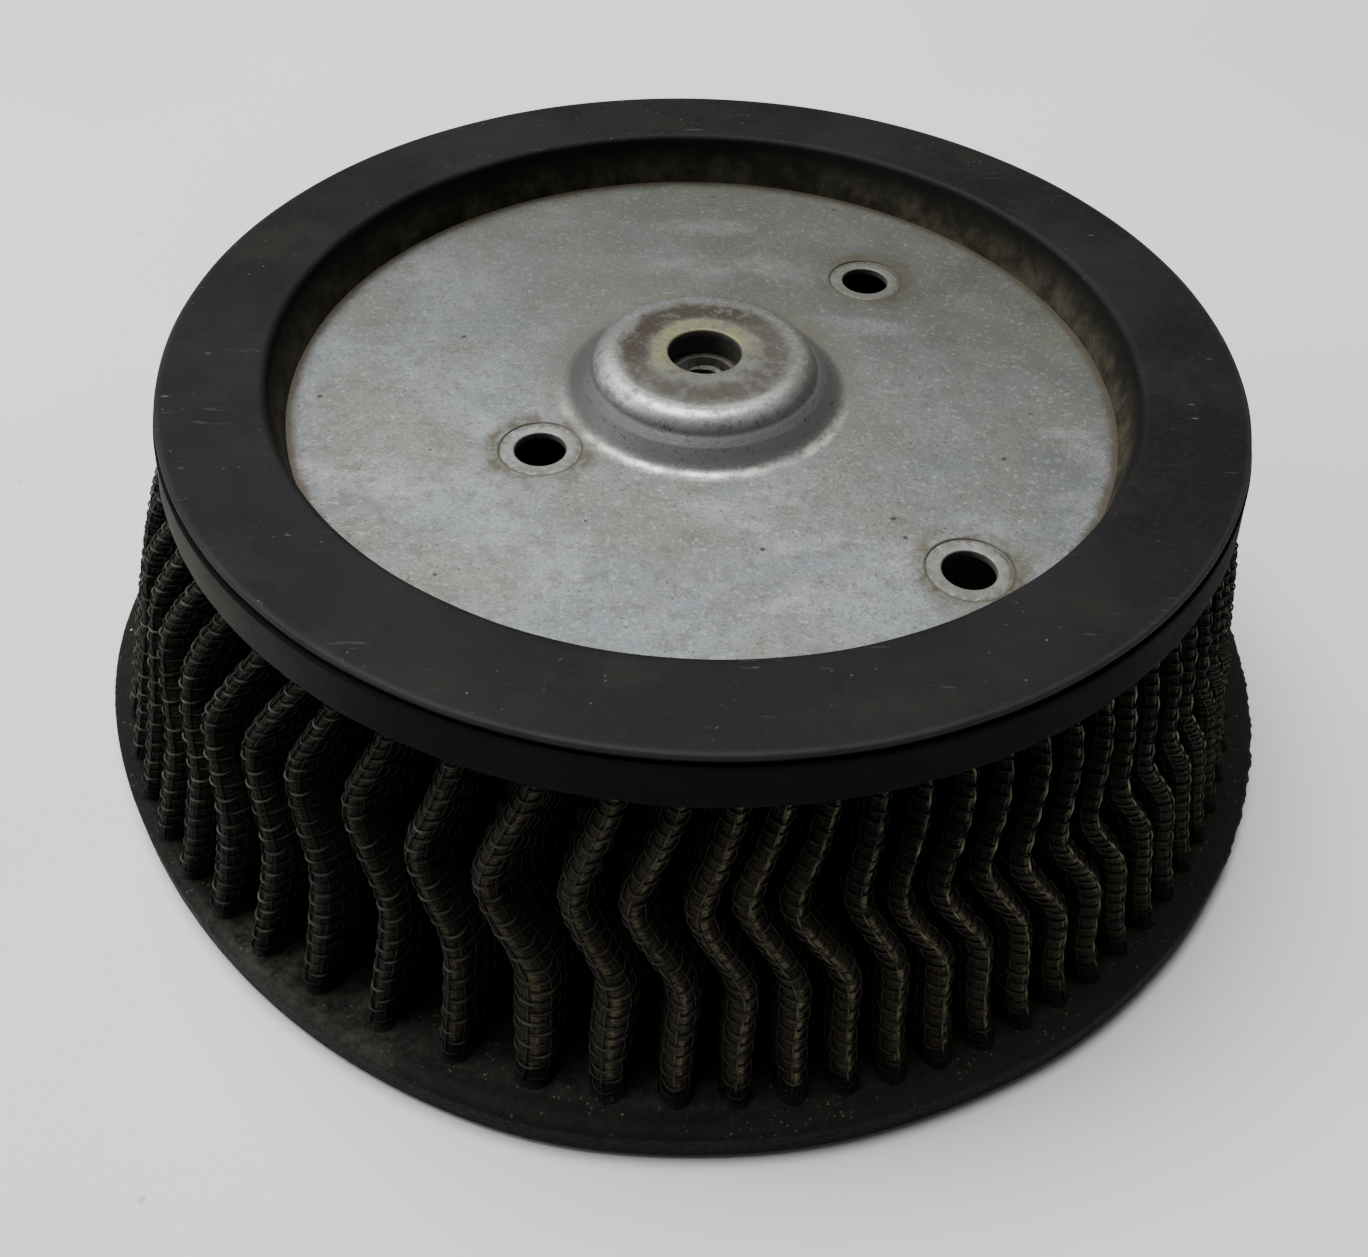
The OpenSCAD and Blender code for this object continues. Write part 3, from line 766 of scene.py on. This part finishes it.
def zinc():
    m = Shader("zinc_sheet")
    out, z, east, north = m.out, m.height, m.east, m.north
    cloudy, mottle, fine = m.noise(20, 5, 0.62), m.noise(2.4, 5, 0.75), m.noise(0.45, 3, 0.75)
    # dull patina patches, with painted shade that makes them thickest at the back and on the right
    patina_and_shade = (north * 0.85 + east * 0.5).span(-14, 42) * m.noise(13, 5, 0.7).span(0.3, 0.65, 0.5, 1)
    specks = m.cells(1.2).span(0.2, 0.08) * m.noise(6, 3, 0.7).span(0.40, 0.6)
    pits = m.cells(5.3).span(0.085, 0.055) * m.noise(13, 2).span(0.46, 0.56)
    # brown stains: a thin line at the rim, the holes and the hub's face; and a darker band round the foot of
    # the hub, strongest at the back
    ragged = (m.noise(4, 5, 0.7) - 0.5) * 5.0
    blotch = m.noise(1.6, 5, 0.75)
    rim = (out + ragged * 0.4).span(PLATE_R - 3.3, PLATE_R - 1.7)
    foot = (out + ragged * 0.6).span(HUB_FOOT_R + 6.5, HUB_FOOT_R + 1.5) * north.span(-12, 14, 0.15, 0.62)
    colour = m.coats(
        (0.164, 0.178, 0.190),
        (cloudy.span(0.35, 0.68), (0.240, 0.257, 0.273)),
        (patina_and_shade * 0.9, (0.069, 0.073, 0.062)),
        (m.noise(24, 4, 0.6).span(0.42, 0.62, 0, 0.65), (0.152, 0.163, 0.132)),
        (m.noise(9, 6, 0.75).span(0.52, 0.66, 0, 0.5), (0.150, 0.138, 0.116)),
        # pale bluish streaks, a painted highlight
        (m.noise(30, 3, 0.5, m.stretched(1, 2.2)).span(0.56, 0.7, 0, 0.5), (0.350, 0.362, 0.378)),
        (mottle.span(0.46, 0.64, 0, 0.5), (0.100, 0.100, 0.088)),
        (fine.span(0.48, 0.68, 0, 0.6), (0.085, 0.084, 0.080)),
        (m.noise(0.8, 3, 0.7).span(0.54, 0.70, 0, 0.45), (0.370, 0.376, 0.382)),
        # painted shade, darker towards the back and the right
        ((north + east * 0.25).span(-24, 44, 0, 0.5), (0.070, 0.074, 0.062)),
        (specks * 0.75, (0.060, 0.053, 0.044)),
        (pits * 0.85, (0.030, 0.028, 0.027)),
        (rim * 0.85, (0.060, 0.048, 0.030)),
        (foot * z.span(PLATE_Z + 1.2, PLATE_Z + 0.3), (0.105, 0.100, 0.076)),
    )
    for at in SCREW_HOLES:
        far = m.away(at[0], at[1])
        stain = far + ragged * 0.55
        stain = stain.span(COIN_R - 0.5, COIN_R + 0.3) * stain.span(COIN_R + 3.5, COIN_R + 0.7)
        stain = stain * m.noise(5, 3).span(0.38, 0.56, 0.2, 1) * blotch.span(0.36, 0.58, 0.5, 0.95)
        line = m.math("ABSOLUTE", far - (COIN_R + 0.05))
        grime = far.span(COIN_R - 1.8, COIN_R - 0.3, 0.25, 1) * far.span(COIN_R + 0.2, COIN_R - 0.1)
        grime = grime * m.noise(1.3, 4, 0.7).span(0.40, 0.58)
        colour = m.coats(
            colour,
            (stain, (0.072, 0.062, 0.037)),
            (line.span(0.30, 0.08, 0, 0.75), (0.055, 0.048, 0.036)),
            (far.span(COIN_R - 0.2, COIN_R - 0.8, 0, 0.3), (0.25, 0.252, 0.228)),
            (grime * 0.7, (0.082, 0.076, 0.054)),
        )
    # the hub's dull drawn sides, painted darker on the left and lighter on the right as shade and light, and
    # painted highlights on its shoulder and on the fillet at its foot
    sides = out.span(HUB_FOOT_R + 0.1, HUB_FOOT_R - 0.7) * z.span(HUB_TOP - 0.6, HUB_TOP - 1.8)
    lit_and_shaded_sides = m.mix(east.span(-14, 10), (0.104, 0.102, 0.101), (0.188, 0.185, 0.183))
    low_side = sides * z.span(PLATE_Z + 3.6, PLATE_Z + 3.0)
    shoulder_highlight = out.span(11.8, 13.0) * z.span(HUB_TOP - 2.4, HUB_TOP - 0.8) * blotch.span(0.36, 0.56, 0.2, 1)
    shoulder_highlight = shoulder_highlight * (east * -0.35 - north).span(0, 13, 0.05, 1)
    fillet_highlight = out.span(HUB_FOOT_R - 0.1, HUB_FOOT_R + 0.5) * out.span(HUB_FOOT_R + 2.1, HUB_FOOT_R + 1.2)
    fillet_highlight = fillet_highlight * north.span(0, -14) * m.noise(6, 3).span(0.35, 0.6, 0.25, 1)
    scrapes = m.noise(1.1, 4, 0.8, m.around(1.6, 0.25)).span(0.58, 0.66) * sides
    # its face, with a worn brown ring round the hole that is darkest on one side, and what is inside the hole
    top = z.span(HUB_TOP - 0.6, HUB_TOP - 0.15) * out.span(19, 15)
    face = m.mix(mottle.span(0.4, 0.65), (0.138, 0.140, 0.126), (0.072, 0.070, 0.060))
    worn = out + ragged * 0.7
    ring = top * worn.span(12.4, 10.9) * worn.span(7.2, 9.4)
    dark = ring * (north - east * 0.7).span(0, 7, 0.2, 1) * blotch.span(0.36, 0.5)
    yellow = top * (out + ragged * 0.8).span(8.6, 7.2) * (north - east * 0.5).span(-5, 1, 0.1, 1)
    bore = out.span(HUB_HOLE_R + 0.3, HUB_HOLE_R + 0.05) * z.span(HUB_TOP - 0.2, HUB_TOP - 1.2)
    colour = m.coats(
        colour,
        (sides * 0.78, lit_and_shaded_sides),
        (low_side * 0.6, (0.100, 0.095, 0.098)),
        (shoulder_highlight * 0.75, (0.52, 0.52, 0.51)),
        (fillet_highlight * blotch.span(0.38, 0.56, 0.15, 0.8), (0.50, 0.49, 0.46)),
        (scrapes * 0.8, (0.04, 0.04, 0.04)),
        (top * out.span(13.2, 12.0) * 0.85, face),
        (ring * blotch.span(0.35, 0.6, 0.35, 0.9), (0.068, 0.060, 0.050)),
        (dark * 0.85, (0.040, 0.030, 0.022)),
        (yellow * blotch.span(0.35, 0.58, 0.1, 0.8), (0.200, 0.200, 0.100)),
        (bore * 0.85, (0.055, 0.048, 0.036)),
    )
    rough = (mottle * 0.5 + cloudy * 0.5).span(0.3, 0.7, 0.46, 0.62) - (shoulder_highlight + fillet_highlight) * 0.16
    m.set(Base_Color=colour, Roughness=rough, Metallic=0.5, Specular_IOR_Level=0.4)
    m.bumps((fine, 0.05, 0.8), (m.noise(9, 3), 0.10, 0.5), (m.noise(1.5, 4, 0.6), 0.06, 0.6))
    return m.material


def nut_steel():
    m = Shader("nut_steel")
    rub = m.noise(1.2, 4, 0.7)
    colour = m.coats(
        (0.125, 0.120, 0.105),
        (rub.span(0.35, 0.7), (0.050, 0.046, 0.037)),
        (m.out.span(4.3, 5.0, 0, 0.8), (0.045, 0.040, 0.030)),
    )
    m.set(Base_Color=colour, Metallic=0.3, Roughness=rub.span(0.3, 0.7, 0.5, 0.7), Specular_IOR_Level=0.3)
    m.bumps((m.noise(0.5, 3), 0.03, 0.5))
    return m.material


def foot_mask(m):
    """1 on what the black compound has crept over at the foot of the pleats, 0 above it."""
    return (m.height + m.noise(2.2, 3) * 3.0).span(COAT_TOP + 2.8, COAT_TOP + 1.0)


def upper_right_shade_and_highlight(m):
    """1 on the right-hand pleats above their knee, which are painted darker as shade, and 0 elsewhere."""
    return m.height.span(KNEE_Z - 5, KNEE_Z + 1) * m.east.span(0, 30)


def wire():
    m = Shader("screen_wire")
    lift, rub, _ = m.uv("Lift")
    dull, fine = m.noise(7, 4, 0.65), m.noise(0.8, 3, 0.7)
    upper, black = upper_right_shade_and_highlight(m), foot_mask(m)
    # bright where the weave stands proud on a crest, from wear and from a painted highlight that follows
    # where the light falls, and black with oily dust in its hollows
    proud_rub_and_highlight = lift.span(0.3, 0.9, 0.12, 1) * rub * dull.span(0.35, 0.65, 1, 0.5)
    proud_rub_and_highlight = proud_rub_and_highlight * (upper * (rub.span(0.25, 0.6) - 1.0) + 1.0)
    olive = m.east.span(-30, 20)
    # on the right-hand pleats above their knee the wires get painted shade, and those that stand proud near
    # the ridge a brighter painted highlight
    bright = m.coats((0.155, 0.155, 0.142), (olive, (0.250, 0.228, 0.135)), (upper, (0.380, 0.350, 0.225)))
    dusty = m.east.span(-45, 0) * m.east.span(20, 60, 1, 0.4)
    colour = m.coats(
        (0.0070, 0.0062, 0.0046),
        (dusty, (0.0175, 0.0160, 0.0110)),
        (upper, (0.0028, 0.0026, 0.0021)),
        (proud_rub_and_highlight, bright),
        (fine.span(0.5, 0.75, 0, 0.5), (0.012, 0.010, 0.007)),
        (black, (0.011, 0.011, 0.0105)),
    )
    metal = black.span(0, 1, 0.4, 0) * proud_rub_and_highlight
    m.set(Base_Color=colour, Metallic=metal, Roughness=fine.span(0.3, 0.7, 0.5, 0.7), Specular_IOR_Level=0.08)
    m.bumps((fine, 0.03, 0.5))
    return m.material


def gauze():
    m = Shader("oiled_gauze")
    east = m.east
    x, y, _ = m.uv("Weave")
    stray = m.noise(2.5, 3) * 1.2

    def thread(value, pitch):
        return m.math("SINE", (value + stray) * (TAU / pitch)) * 0.5 + 0.5

    cloth = m.math("MAXIMUM", thread(x, 0.62), thread(y, 0.66))
    # dust settles on the crests, and fades down the flanks into oily black, a fade that also paints the shade
    # on the crests' curved sides; there is less on the left, and on the right-hand pleats above their knee
    # painted shade takes its place
    off = (m.math("FRACT", m.math("DIVIDE", x, PLEAT_LEN)) - 0.5) * PLEAT_LEN
    upper = upper_right_shade_and_highlight(m)
    dusty = m.math("ABSOLUTE", off).span(2.7, 0.2) * m.noise(4.5, 4, 0.7).span(0.3, 0.62, 0.35, 1)
    dusty = dusty * east.span(-60, 15, 0.35, 1) * (upper * -0.85 + 1) * east.span(20, 60, 1, 0.75)
    brown = m.mix(m.noise(8, 3).span(0.42, 0.62), (0.032, 0.0310, 0.0215), (0.033, 0.0265, 0.016))
    # a painted highlight along a line beside each crest's middle, strongest on the right
    ridge = m.math("ABSOLUTE", off - RIDGE_OFF).span(0.6, 0.12) * m.noise(2.4, 4, 0.7).span(0.38, 0.56)
    ridge = ridge * east.span(-50, 30, 0.1, 1)
    colour = m.coats(
        (0.0085, 0.0075, 0.0055),
        (dusty, brown),
        (upper * 0.8, (0.0030, 0.0027, 0.0021)),
        (ridge * 0.8, (0.190, 0.170, 0.098)),
        (cloth.span(0.75, 0.25, 0, 0.45), (0.005, 0.0045, 0.0033)),
        (foot_mask(m), (0.005, 0.005, 0.0048)),
    )
    m.set(Base_Color=colour, Roughness=dusty.span(0, 1, 0.6, 0.85), Specular_IOR_Level=0.07)
    m.bumps((m.noise(1.1, 3), 0.1, 0.6), (cloth, 0.16, 0.9))
    return m.material


def clip_metal():
    m = Shader("clip_strip")
    rub = m.noise(3, 4, 0.7)
    colour = m.mix(rub.span(0.35, 0.7), (0.40, 0.40, 0.385), (0.22, 0.21, 0.18))
    m.set(Base_Color=colour, Metallic=0.8, Roughness=rub.span(0.3, 0.7, 0.4, 0.6))
    m.bumps((m.noise(0.8, 3), 0.03, 0.5))
    return m.material


def paper():
    m = Shader("floor_paper")
    specks = m.cells(14).span(0.045, 0.03) * m.noise(60, 2).span(0.5, 0.56)
    colour = m.coats(
        (0.775, 0.775, 0.78),
        (m.noise(180, 3, 0.5).span(0.3, 0.7), (0.83, 0.83, 0.835)),
        (specks * 0.35, (0.25, 0.22, 0.2)),
        (m.out.span(67, 62), (0.06, 0.055, 0.05)),  # painted shade on the floor under the filter
    )
    m.set(Base_Color=colour, Roughness=0.85, Specular_IOR_Level=0.2)
    m.bumps((m.noise(60, 3), 0.5, 0.3))
    return m.material


TOP_RUBBER, BASE_RUBBER, ZINC, NUT, WIRE, GAUZE, CLIP = (
    make() for make in (top_rubber, base_rubber, zinc, nut_steel, wire, gauze, clip_metal)
)


# ---- Rubber rings ----


def ring_wobble(seed, size):
    """Slight unevenness of a moulded ring; its two flat sealing faces stay flat."""
    slow, quick = waves(seed, 2, 6, 5), waves(seed + 1, 9, 30, 8)
    return lambda r, z, a: (size * (slow(a) + 0.5 * quick(a + z * 0.05)) * np.ones_like(r), 0.0)


def make_top_ring():
    lip_in, lip_out = 57.8, 61.3
    seat = PLATE_Z - PLATE_T
    roof = TOP_RING_LOW + 0.2
    profile = rounded([
        (RECESS_R - 0.65, TOP_Z, 1.0), (59.7, TOP_Z - 3, 2), (58.8, PLATE_Z, 0), (PLATE_R, PLATE_Z, 0),
        (PLATE_R, seat, 0), (lip_in, seat, 0.2), (lip_in, LIP_LOW, 0.5), (lip_out, LIP_LOW, 0.5),
        (lip_out, roof, 0.3), (TOP_RING_R - 1.2, roof, 0.3), (TOP_RING_R - 0.7, TOP_RING_LOW, 0.2),
        (TOP_RING_R, TOP_RING_LOW, 0.3),
        (FACE_R + 0.35, TOP_Z - 1.55, 0.3), (FACE_R - 0.5, TOP_Z - 1.47, 0.15),
        (FACE_R - 0.5, TOP_Z - 1.03, 0.15), (FACE_R - 0.05, TOP_Z - 0.95, 0.2), (FACE_R, TOP_Z, 0.5),
    ], closed=True, steps=7, spacing=1.0)
    even = ring_wobble(31, 0.06)
    nicks, scallops = waves(33, 50, 400, 40), waves(35, 22, 75, 18)

    def wobble(r, z, a):
        """Even but for a ragged lower edge."""
        low = np.clip((TOP_RING_LOW + 1.2 - z) / 1.2, 0, 1) * (r > TOP_RING_R - 1.5)
        return even(r, z, a)[0], low * (0.11 * np.abs(nicks(a)) + 0.22 * np.abs(scallops(a)))

    points, faces = lathe(profile, 480, wobble)
    mesh = make_mesh("top_ring_rubber", points, [faces], sharp=50)
    make_piece(mesh, TOP_RUBBER, "moulded_rubber", "top_ring")


def make_base_ring():
    fill = BASE_H - 0.35
    profile = rounded([
        (BASE_BORE_R, 0, 0.9), (BASE_R, 0, 1.3), (BASE_R, BASE_H - 0.5, 1.1), (89.6, BASE_H, 0.5),
        (88.3, BASE_H - 0.15, 0.8), (87.4, fill, 0.8),
        (70.2, fill, 0.8), (69.4, BASE_H, 0.5), (BASE_BORE_R, BASE_H, 1.3),
    ], closed=True, steps=7, spacing=0.7)
    lump, grit, torn = waves(41, 40, 160, 18), waves(43, 150, 400, 18), waves(44, 20, 260, 30)
    slow = waves(42, 3, 9, 5)

    def wobble(r, z, a):
        """The ring is slightly out of round, lumpy between the pleats, and torn along its rim on one side."""
        filled = np.clip((r - 71) / 2, 0, 1) * np.clip((88.5 - r) / 2, 0, 1) * (z > BASE_H - 1)
        rim = np.clip((r - 89) / 2, 0, 1)
        oval = 0.9 * hump(a, -82, 48) - hump(a, -78, 19, 4) - 0.6 * hump(a, -50, 18)
        oval = oval - 0.45 * hump(a, -132, 24) + 2.8 * hump(a, -176, 23) + 0.06 * slow(a)
        tear = 0.5 * (hump(a, -8, 26) + 0.25 * hump(a, 150, 60))
        tear = tear * np.clip(np.abs(torn(a + z * 0.004)) - 0.15, 0, 1)
        uneven = filled * (0.12 * lump(a + r * 0.13) + 0.05 * grit(a + r * 0.4))
        return rim * (oval + tear), uneven - 0.5 * rim * tear * (z > BASE_H / 2)

    points, faces = lathe(profile, 900, wobble)
    mesh = make_mesh("base_ring_rubber", points, [faces], sharp=50)
    make_piece(mesh, BASE_RUBBER, "base_rubber", "base_ring")


def make_foot_coat():
    """The black compound of the base ring where it has crept up the feet of the pleats."""
    columns = strip_columns(4, 4, 2)
    ragged = waves(51, 60, 420, 16)
    crept = COAT_TOP + 0.7 * ragged(columns * TAU / STRIP_LEN)
    low = BASE_H - 0.9
    up = np.linspace(0, 1, 7)[:, None]
    z = low + (crept - low) * up
    t_out = 0.46 + 0.85 * (1 - up) ** 3 + 0.18 * (1 - up)
    points, faces = thick_skin(*(wall(columns[None, :], z, t) for t in (t_out, 0 * t_out + 0.3)))
    make_piece(make_mesh("base_ring_compound", points, [faces], sharp=60), BASE_RUBBER, "base_rubber")


# ---- Stamped plate and its nut ----


def plate_profile():
    """The plate's upper side from its rim in to the nut, as an (r, z) line."""
    high = HUB_TOP - PLATE_Z
    step = high * 0.46
    line = rounded([
        (PLATE_R, 0, 0), (HUB_FOOT_R + 0.4, 0, 2.2), (HUB_FOOT_R - 2.0, step - 0.2, 1.8),
        (HUB_SHOULDER_R + 0.7, step + 0.8, 1.4), (HUB_SHOULDER_R - 0.5, high, 2.6), (HUB_HOLE_R, high, 0.35),
        (HUB_HOLE_R, high - 4, 0),
    ], closed=False, steps=8, spacing=1.0)
    return line + np.array([0, PLATE_Z])


HOLE_SEGMENTS = 72


def cut_holes(piece, places, radius):
    """Takes round holes out of a piece, through its whole height."""
    n, reach = HOLE_SEGMENTS, 4
    round_rim = polar(radius, np.arange(n) * TAU / n)
    points, sides, caps = [], [], []
    for i, place in enumerate(places):
        rim = round_rim + place[:2]
        points += [np.column_stack([rim, np.full(n, z)]) for z in (PLATE_Z - reach, PLATE_Z + reach)]
        sides.append(grid_faces(2, n, False, True)[:, ::-1] + 2 * n * i)
        caps.append(np.stack([np.arange(n)[::-1], np.arange(n) + n]) + 2 * n * i)
    mesh = make_mesh("hole_tool", np.concatenate(points), [np.concatenate(sides), np.concatenate(caps)])
    tool = add_object("hole_tool", mesh)
    cut = piece.modifiers.new("hole", "BOOLEAN")
    cut.operation, cut.solver, cut.object = "DIFFERENCE", "EXACT", tool
    piece.data = bpy.data.meshes.new_from_object(piece.evaluated_get(bpy.context.evaluated_depsgraph_get()))
    piece.modifiers.clear()
    bpy.data.objects.remove(tool)


def make_plate():
    upper = plate_profile()
    lower = shifted(upper, -PLATE_T)
    profile = np.concatenate([upper, lower[::-1]])
    wave, broad = waves(61, 2, 5, 4), waves(62, 6, 14, 6)

    def wobble(r, z, a):
        flat = np.clip((r - 22) / 8, 0, 1) * np.clip((57 - r) / 6, 0, 1)
        return 0.0, flat * (0.05 * wave(a) + 0.03 * broad(a + r * 0.05))

    points, faces = lathe(profile, 240, wobble)
    piece = make_piece(make_mesh("stamped_plate", points, [faces]), ZINC, "zinc_plated_sheet", "end_plate")
    cut_holes(piece, SCREW_HOLES, COIN_R)
    insert = rounded([
        (SCREW_HOLE_R, -PLATE_T, 0.2), (COIN_R, -PLATE_T, 0), (COIN_R, 0, 0),
        (COIN_R - 0.12, -COIN_DEPTH * 0.9, 0.1), (COIN_R - 0.7, -COIN_DEPTH * 0.4, 0.4),
        (SCREW_HOLE_R, -COIN_DEPTH * 0.4, 0.25),
    ], closed=True, steps=6)
    bm = bmesh.new()
    bm.from_mesh(piece.data)
    for place in SCREW_HOLES:
        ring, quads = lathe(insert, HOLE_SEGMENTS)
        bm.from_mesh(make_mesh("coined_ring", ring + place * (1, 1, 0) + (0, 0, PLATE_Z), [quads]))
    bm.to_mesh(piece.data)
    bm.free()
    piece.data.set_sharp_from_angle(angle=math.radians(35))


def make_nut():
    flats, flange_r, flange_t, thread_depth, thread_pitch = 12.7 / 2, 8.5, 1.8, 0.65, 1.411
    segments, chamfer = 144, 1.1
    bore_z = np.arange(NUT_LOW + 0.4, NUT_HIGH - chamfer, thread_pitch / 10)
    collar = NUT_HIGH - flange_t
    # each corner is (r, z, 1 if it is on the hexagon)
    outline = [
        (THREAD_R + 0.9, NUT_HIGH, 0), (THREAD_R + 1.1, NUT_HIGH, 0), (flange_r - 0.3, NUT_HIGH, 0),
        (flange_r, NUT_HIGH - 0.3, 0), (flange_r, collar + 0.3, 0), (flange_r - 0.3, collar, 0),
        (flats, collar, 1), (flats, NUT_LOW + 0.5, 1), (flats - 0.6, NUT_LOW, 1),
        (THREAD_R + 0.7, NUT_LOW, 0), (THREAD_R + 0.5, NUT_LOW + 0.1, 0),
    ]
    angle = np.arange(segments)[:, None] * TAU / segments
    hexagon = 1 / np.cos(angle % (TAU / 6) - TAU / 12)
    outline_r, outline_z, on_hexagon = np.array(outline).T
    r = outline_r * np.where(on_hexagon == 1, hexagon, 1)
    z = np.tile(outline_z, (segments, 1))
    phase = (bore_z / thread_pitch - angle / TAU) % 1
    groove = np.clip(1.35 * (1 - np.abs(2 * phase - 1) * 2) + 0.35, 0, 1)
    # the outline runs clockwise from the top, so the bore comes last, from its bottom up
    r = np.concatenate([r, THREAD_R + thread_depth * groove], axis=1)[:, ::-1]
    z = np.concatenate([z, np.tile(bore_z, (segments, 1))], axis=1)[:, ::-1]
    faces = grid_faces(segments, r.shape[1], True, True)
    mesh = make_mesh("hub_nut_steel", polar(r, angle, z).reshape(-1, 3), [faces], sharp=32)
    make_piece(mesh, NUT, "nut_steel", "hub_nut")


# ---- Pleated wall ----


def make_wall():
    fine = strip_columns(4, 6, 2)
    rough = strip_columns(3, 3, 1)
    plies = (("outer", fine, 28), ("middle", rough, 20), ("inner", fine, 24))
    for layer, (ply, columns, rows) in enumerate(plies, 1):
        mesh = make_sheet(f"gauze_{ply}_cloth", layer, columns, sheet_rows(rows))
        piece = make_piece(mesh, GAUZE, "oiled_gauze", f"gauze_{ply}_ply")
    outer, inner = (layer_side(layer) - SHEET_T / 2 for layer in (0, 4))
    screens = (("outer_screen", 7, outer, 1, 4, True), ("inner_screen", 14, inner, -1, 3, False))
    for node, pleats, *weave in screens:
        for i in range(PLEATS // pleats):
            mesh = woven(f"{node}_wires_{i + 1}", pleats * i, pleats * (i + 1), *weave)
            make_piece(mesh, WIRE, "woven_wire", node)


def make_clip():
    """The folded strip over the two ends of the pleated sheets, on the inside of the wall."""
    clear, thick, reach = 0.45, 0.4, 0.3
    low, high = BASE_H + 0.8, LIP_LOW - 0.8
    z = np.linspace(low, high, 30)[:, None]
    near, far = PLEAT_LEN / 2 - reach * FLANK, PLEAT_LEN / 2 - ROOT_ARC * 0.2
    down = near + (far - near) * np.linspace(0, 1, 7)
    skins = []
    for deep in (clear, clear + thick):
        t = -STACK_T / 2 - deep
        left = wall((PLEATS - 0.5) * PLEAT_LEN + down[None, :], z, t)
        right = wall(0.5 * PLEAT_LEN - down[None, ::-1], z, t)
        u = np.concatenate([left, right], axis=1)
        # the strip's back stands off the sheets' ends
        back = u[:, 5:9, :2]
        radius = np.linalg.norm(back, axis=-1, keepdims=True)
        u[:, 5:9, :2] = back * (radius - deep) / radius
        skins.append(u)
    points, faces = thick_skin(*skins)
    make_piece(make_mesh("seam_clip_strip", points, [faces], sharp=40), CLIP, "clip_strip", "seam_clip")


# ---- Camera, floor and light ----


def make_camera():
    data = bpy.data.cameras.new("camera")
    data.sensor_width, data.lens = 36.0, 36.84
    data.clip_start, data.clip_end = 0.01, 20
    camera = add_object("camera", data)
    right, up, back = (0.99926, 0.02762, 0.02661), (-0.03836, 0.71967, 0.69326), (0.0, -0.69377, 0.72020)
    turn = Matrix((right, up, back)).transposed().to_4x4()
    camera.matrix_world = Matrix.Translation((-0.00145, -0.1653, 0.1733)) @ turn
    bpy.context.scene.camera = camera


LIGHTS_AIM = (0, 0, 0.03)


def make_light(name, place, size, power, colour):
    data = bpy.data.lights.new(name, "AREA")
    data.shape, data.size, data.energy, data.color = "DISK", size, power, colour
    way = (Vector(place) - Vector(LIGHTS_AIM)).to_track_quat("Z", "Y")
    add_object(name, data).matrix_world = Matrix.Translation(place) @ way.to_matrix().to_4x4()


def make_studio():
    half, count = 4000.0, 41
    steps = np.linspace(-half, half, count)
    x, y = np.meshgrid(steps, steps)
    points = np.stack([x.ravel(), y.ravel(), 0 * x.ravel()], axis=-1)
    mesh = make_mesh("floor", points, [grid_faces(count, count)[:, ::-1]])
    mesh.materials.append(paper())
    add_object("floor", mesh)
    world = bpy.data.worlds.new("soft_room")
    bpy.context.scene.world = world
    world.use_nodes = True
    sky = world.node_tree.nodes["Background"].inputs
    sky["Color"].default_value = (0.93, 0.96, 1.0, 1)
    sky["Strength"].default_value = 0.09
    make_light("overhead", (-0.3, 0.3, 1.4), 1.1, 38, (1.0, 0.99, 0.97))
    make_light("window", (-1.6, 0.1, 0.9), 0.9, 12, (0.97, 0.98, 1.0))


for make in (make_top_ring, make_base_ring, make_foot_coat, make_plate, make_nut, make_wall, make_clip):
    make()
make_studio()
make_camera()

bpy.context.view_layer.update()
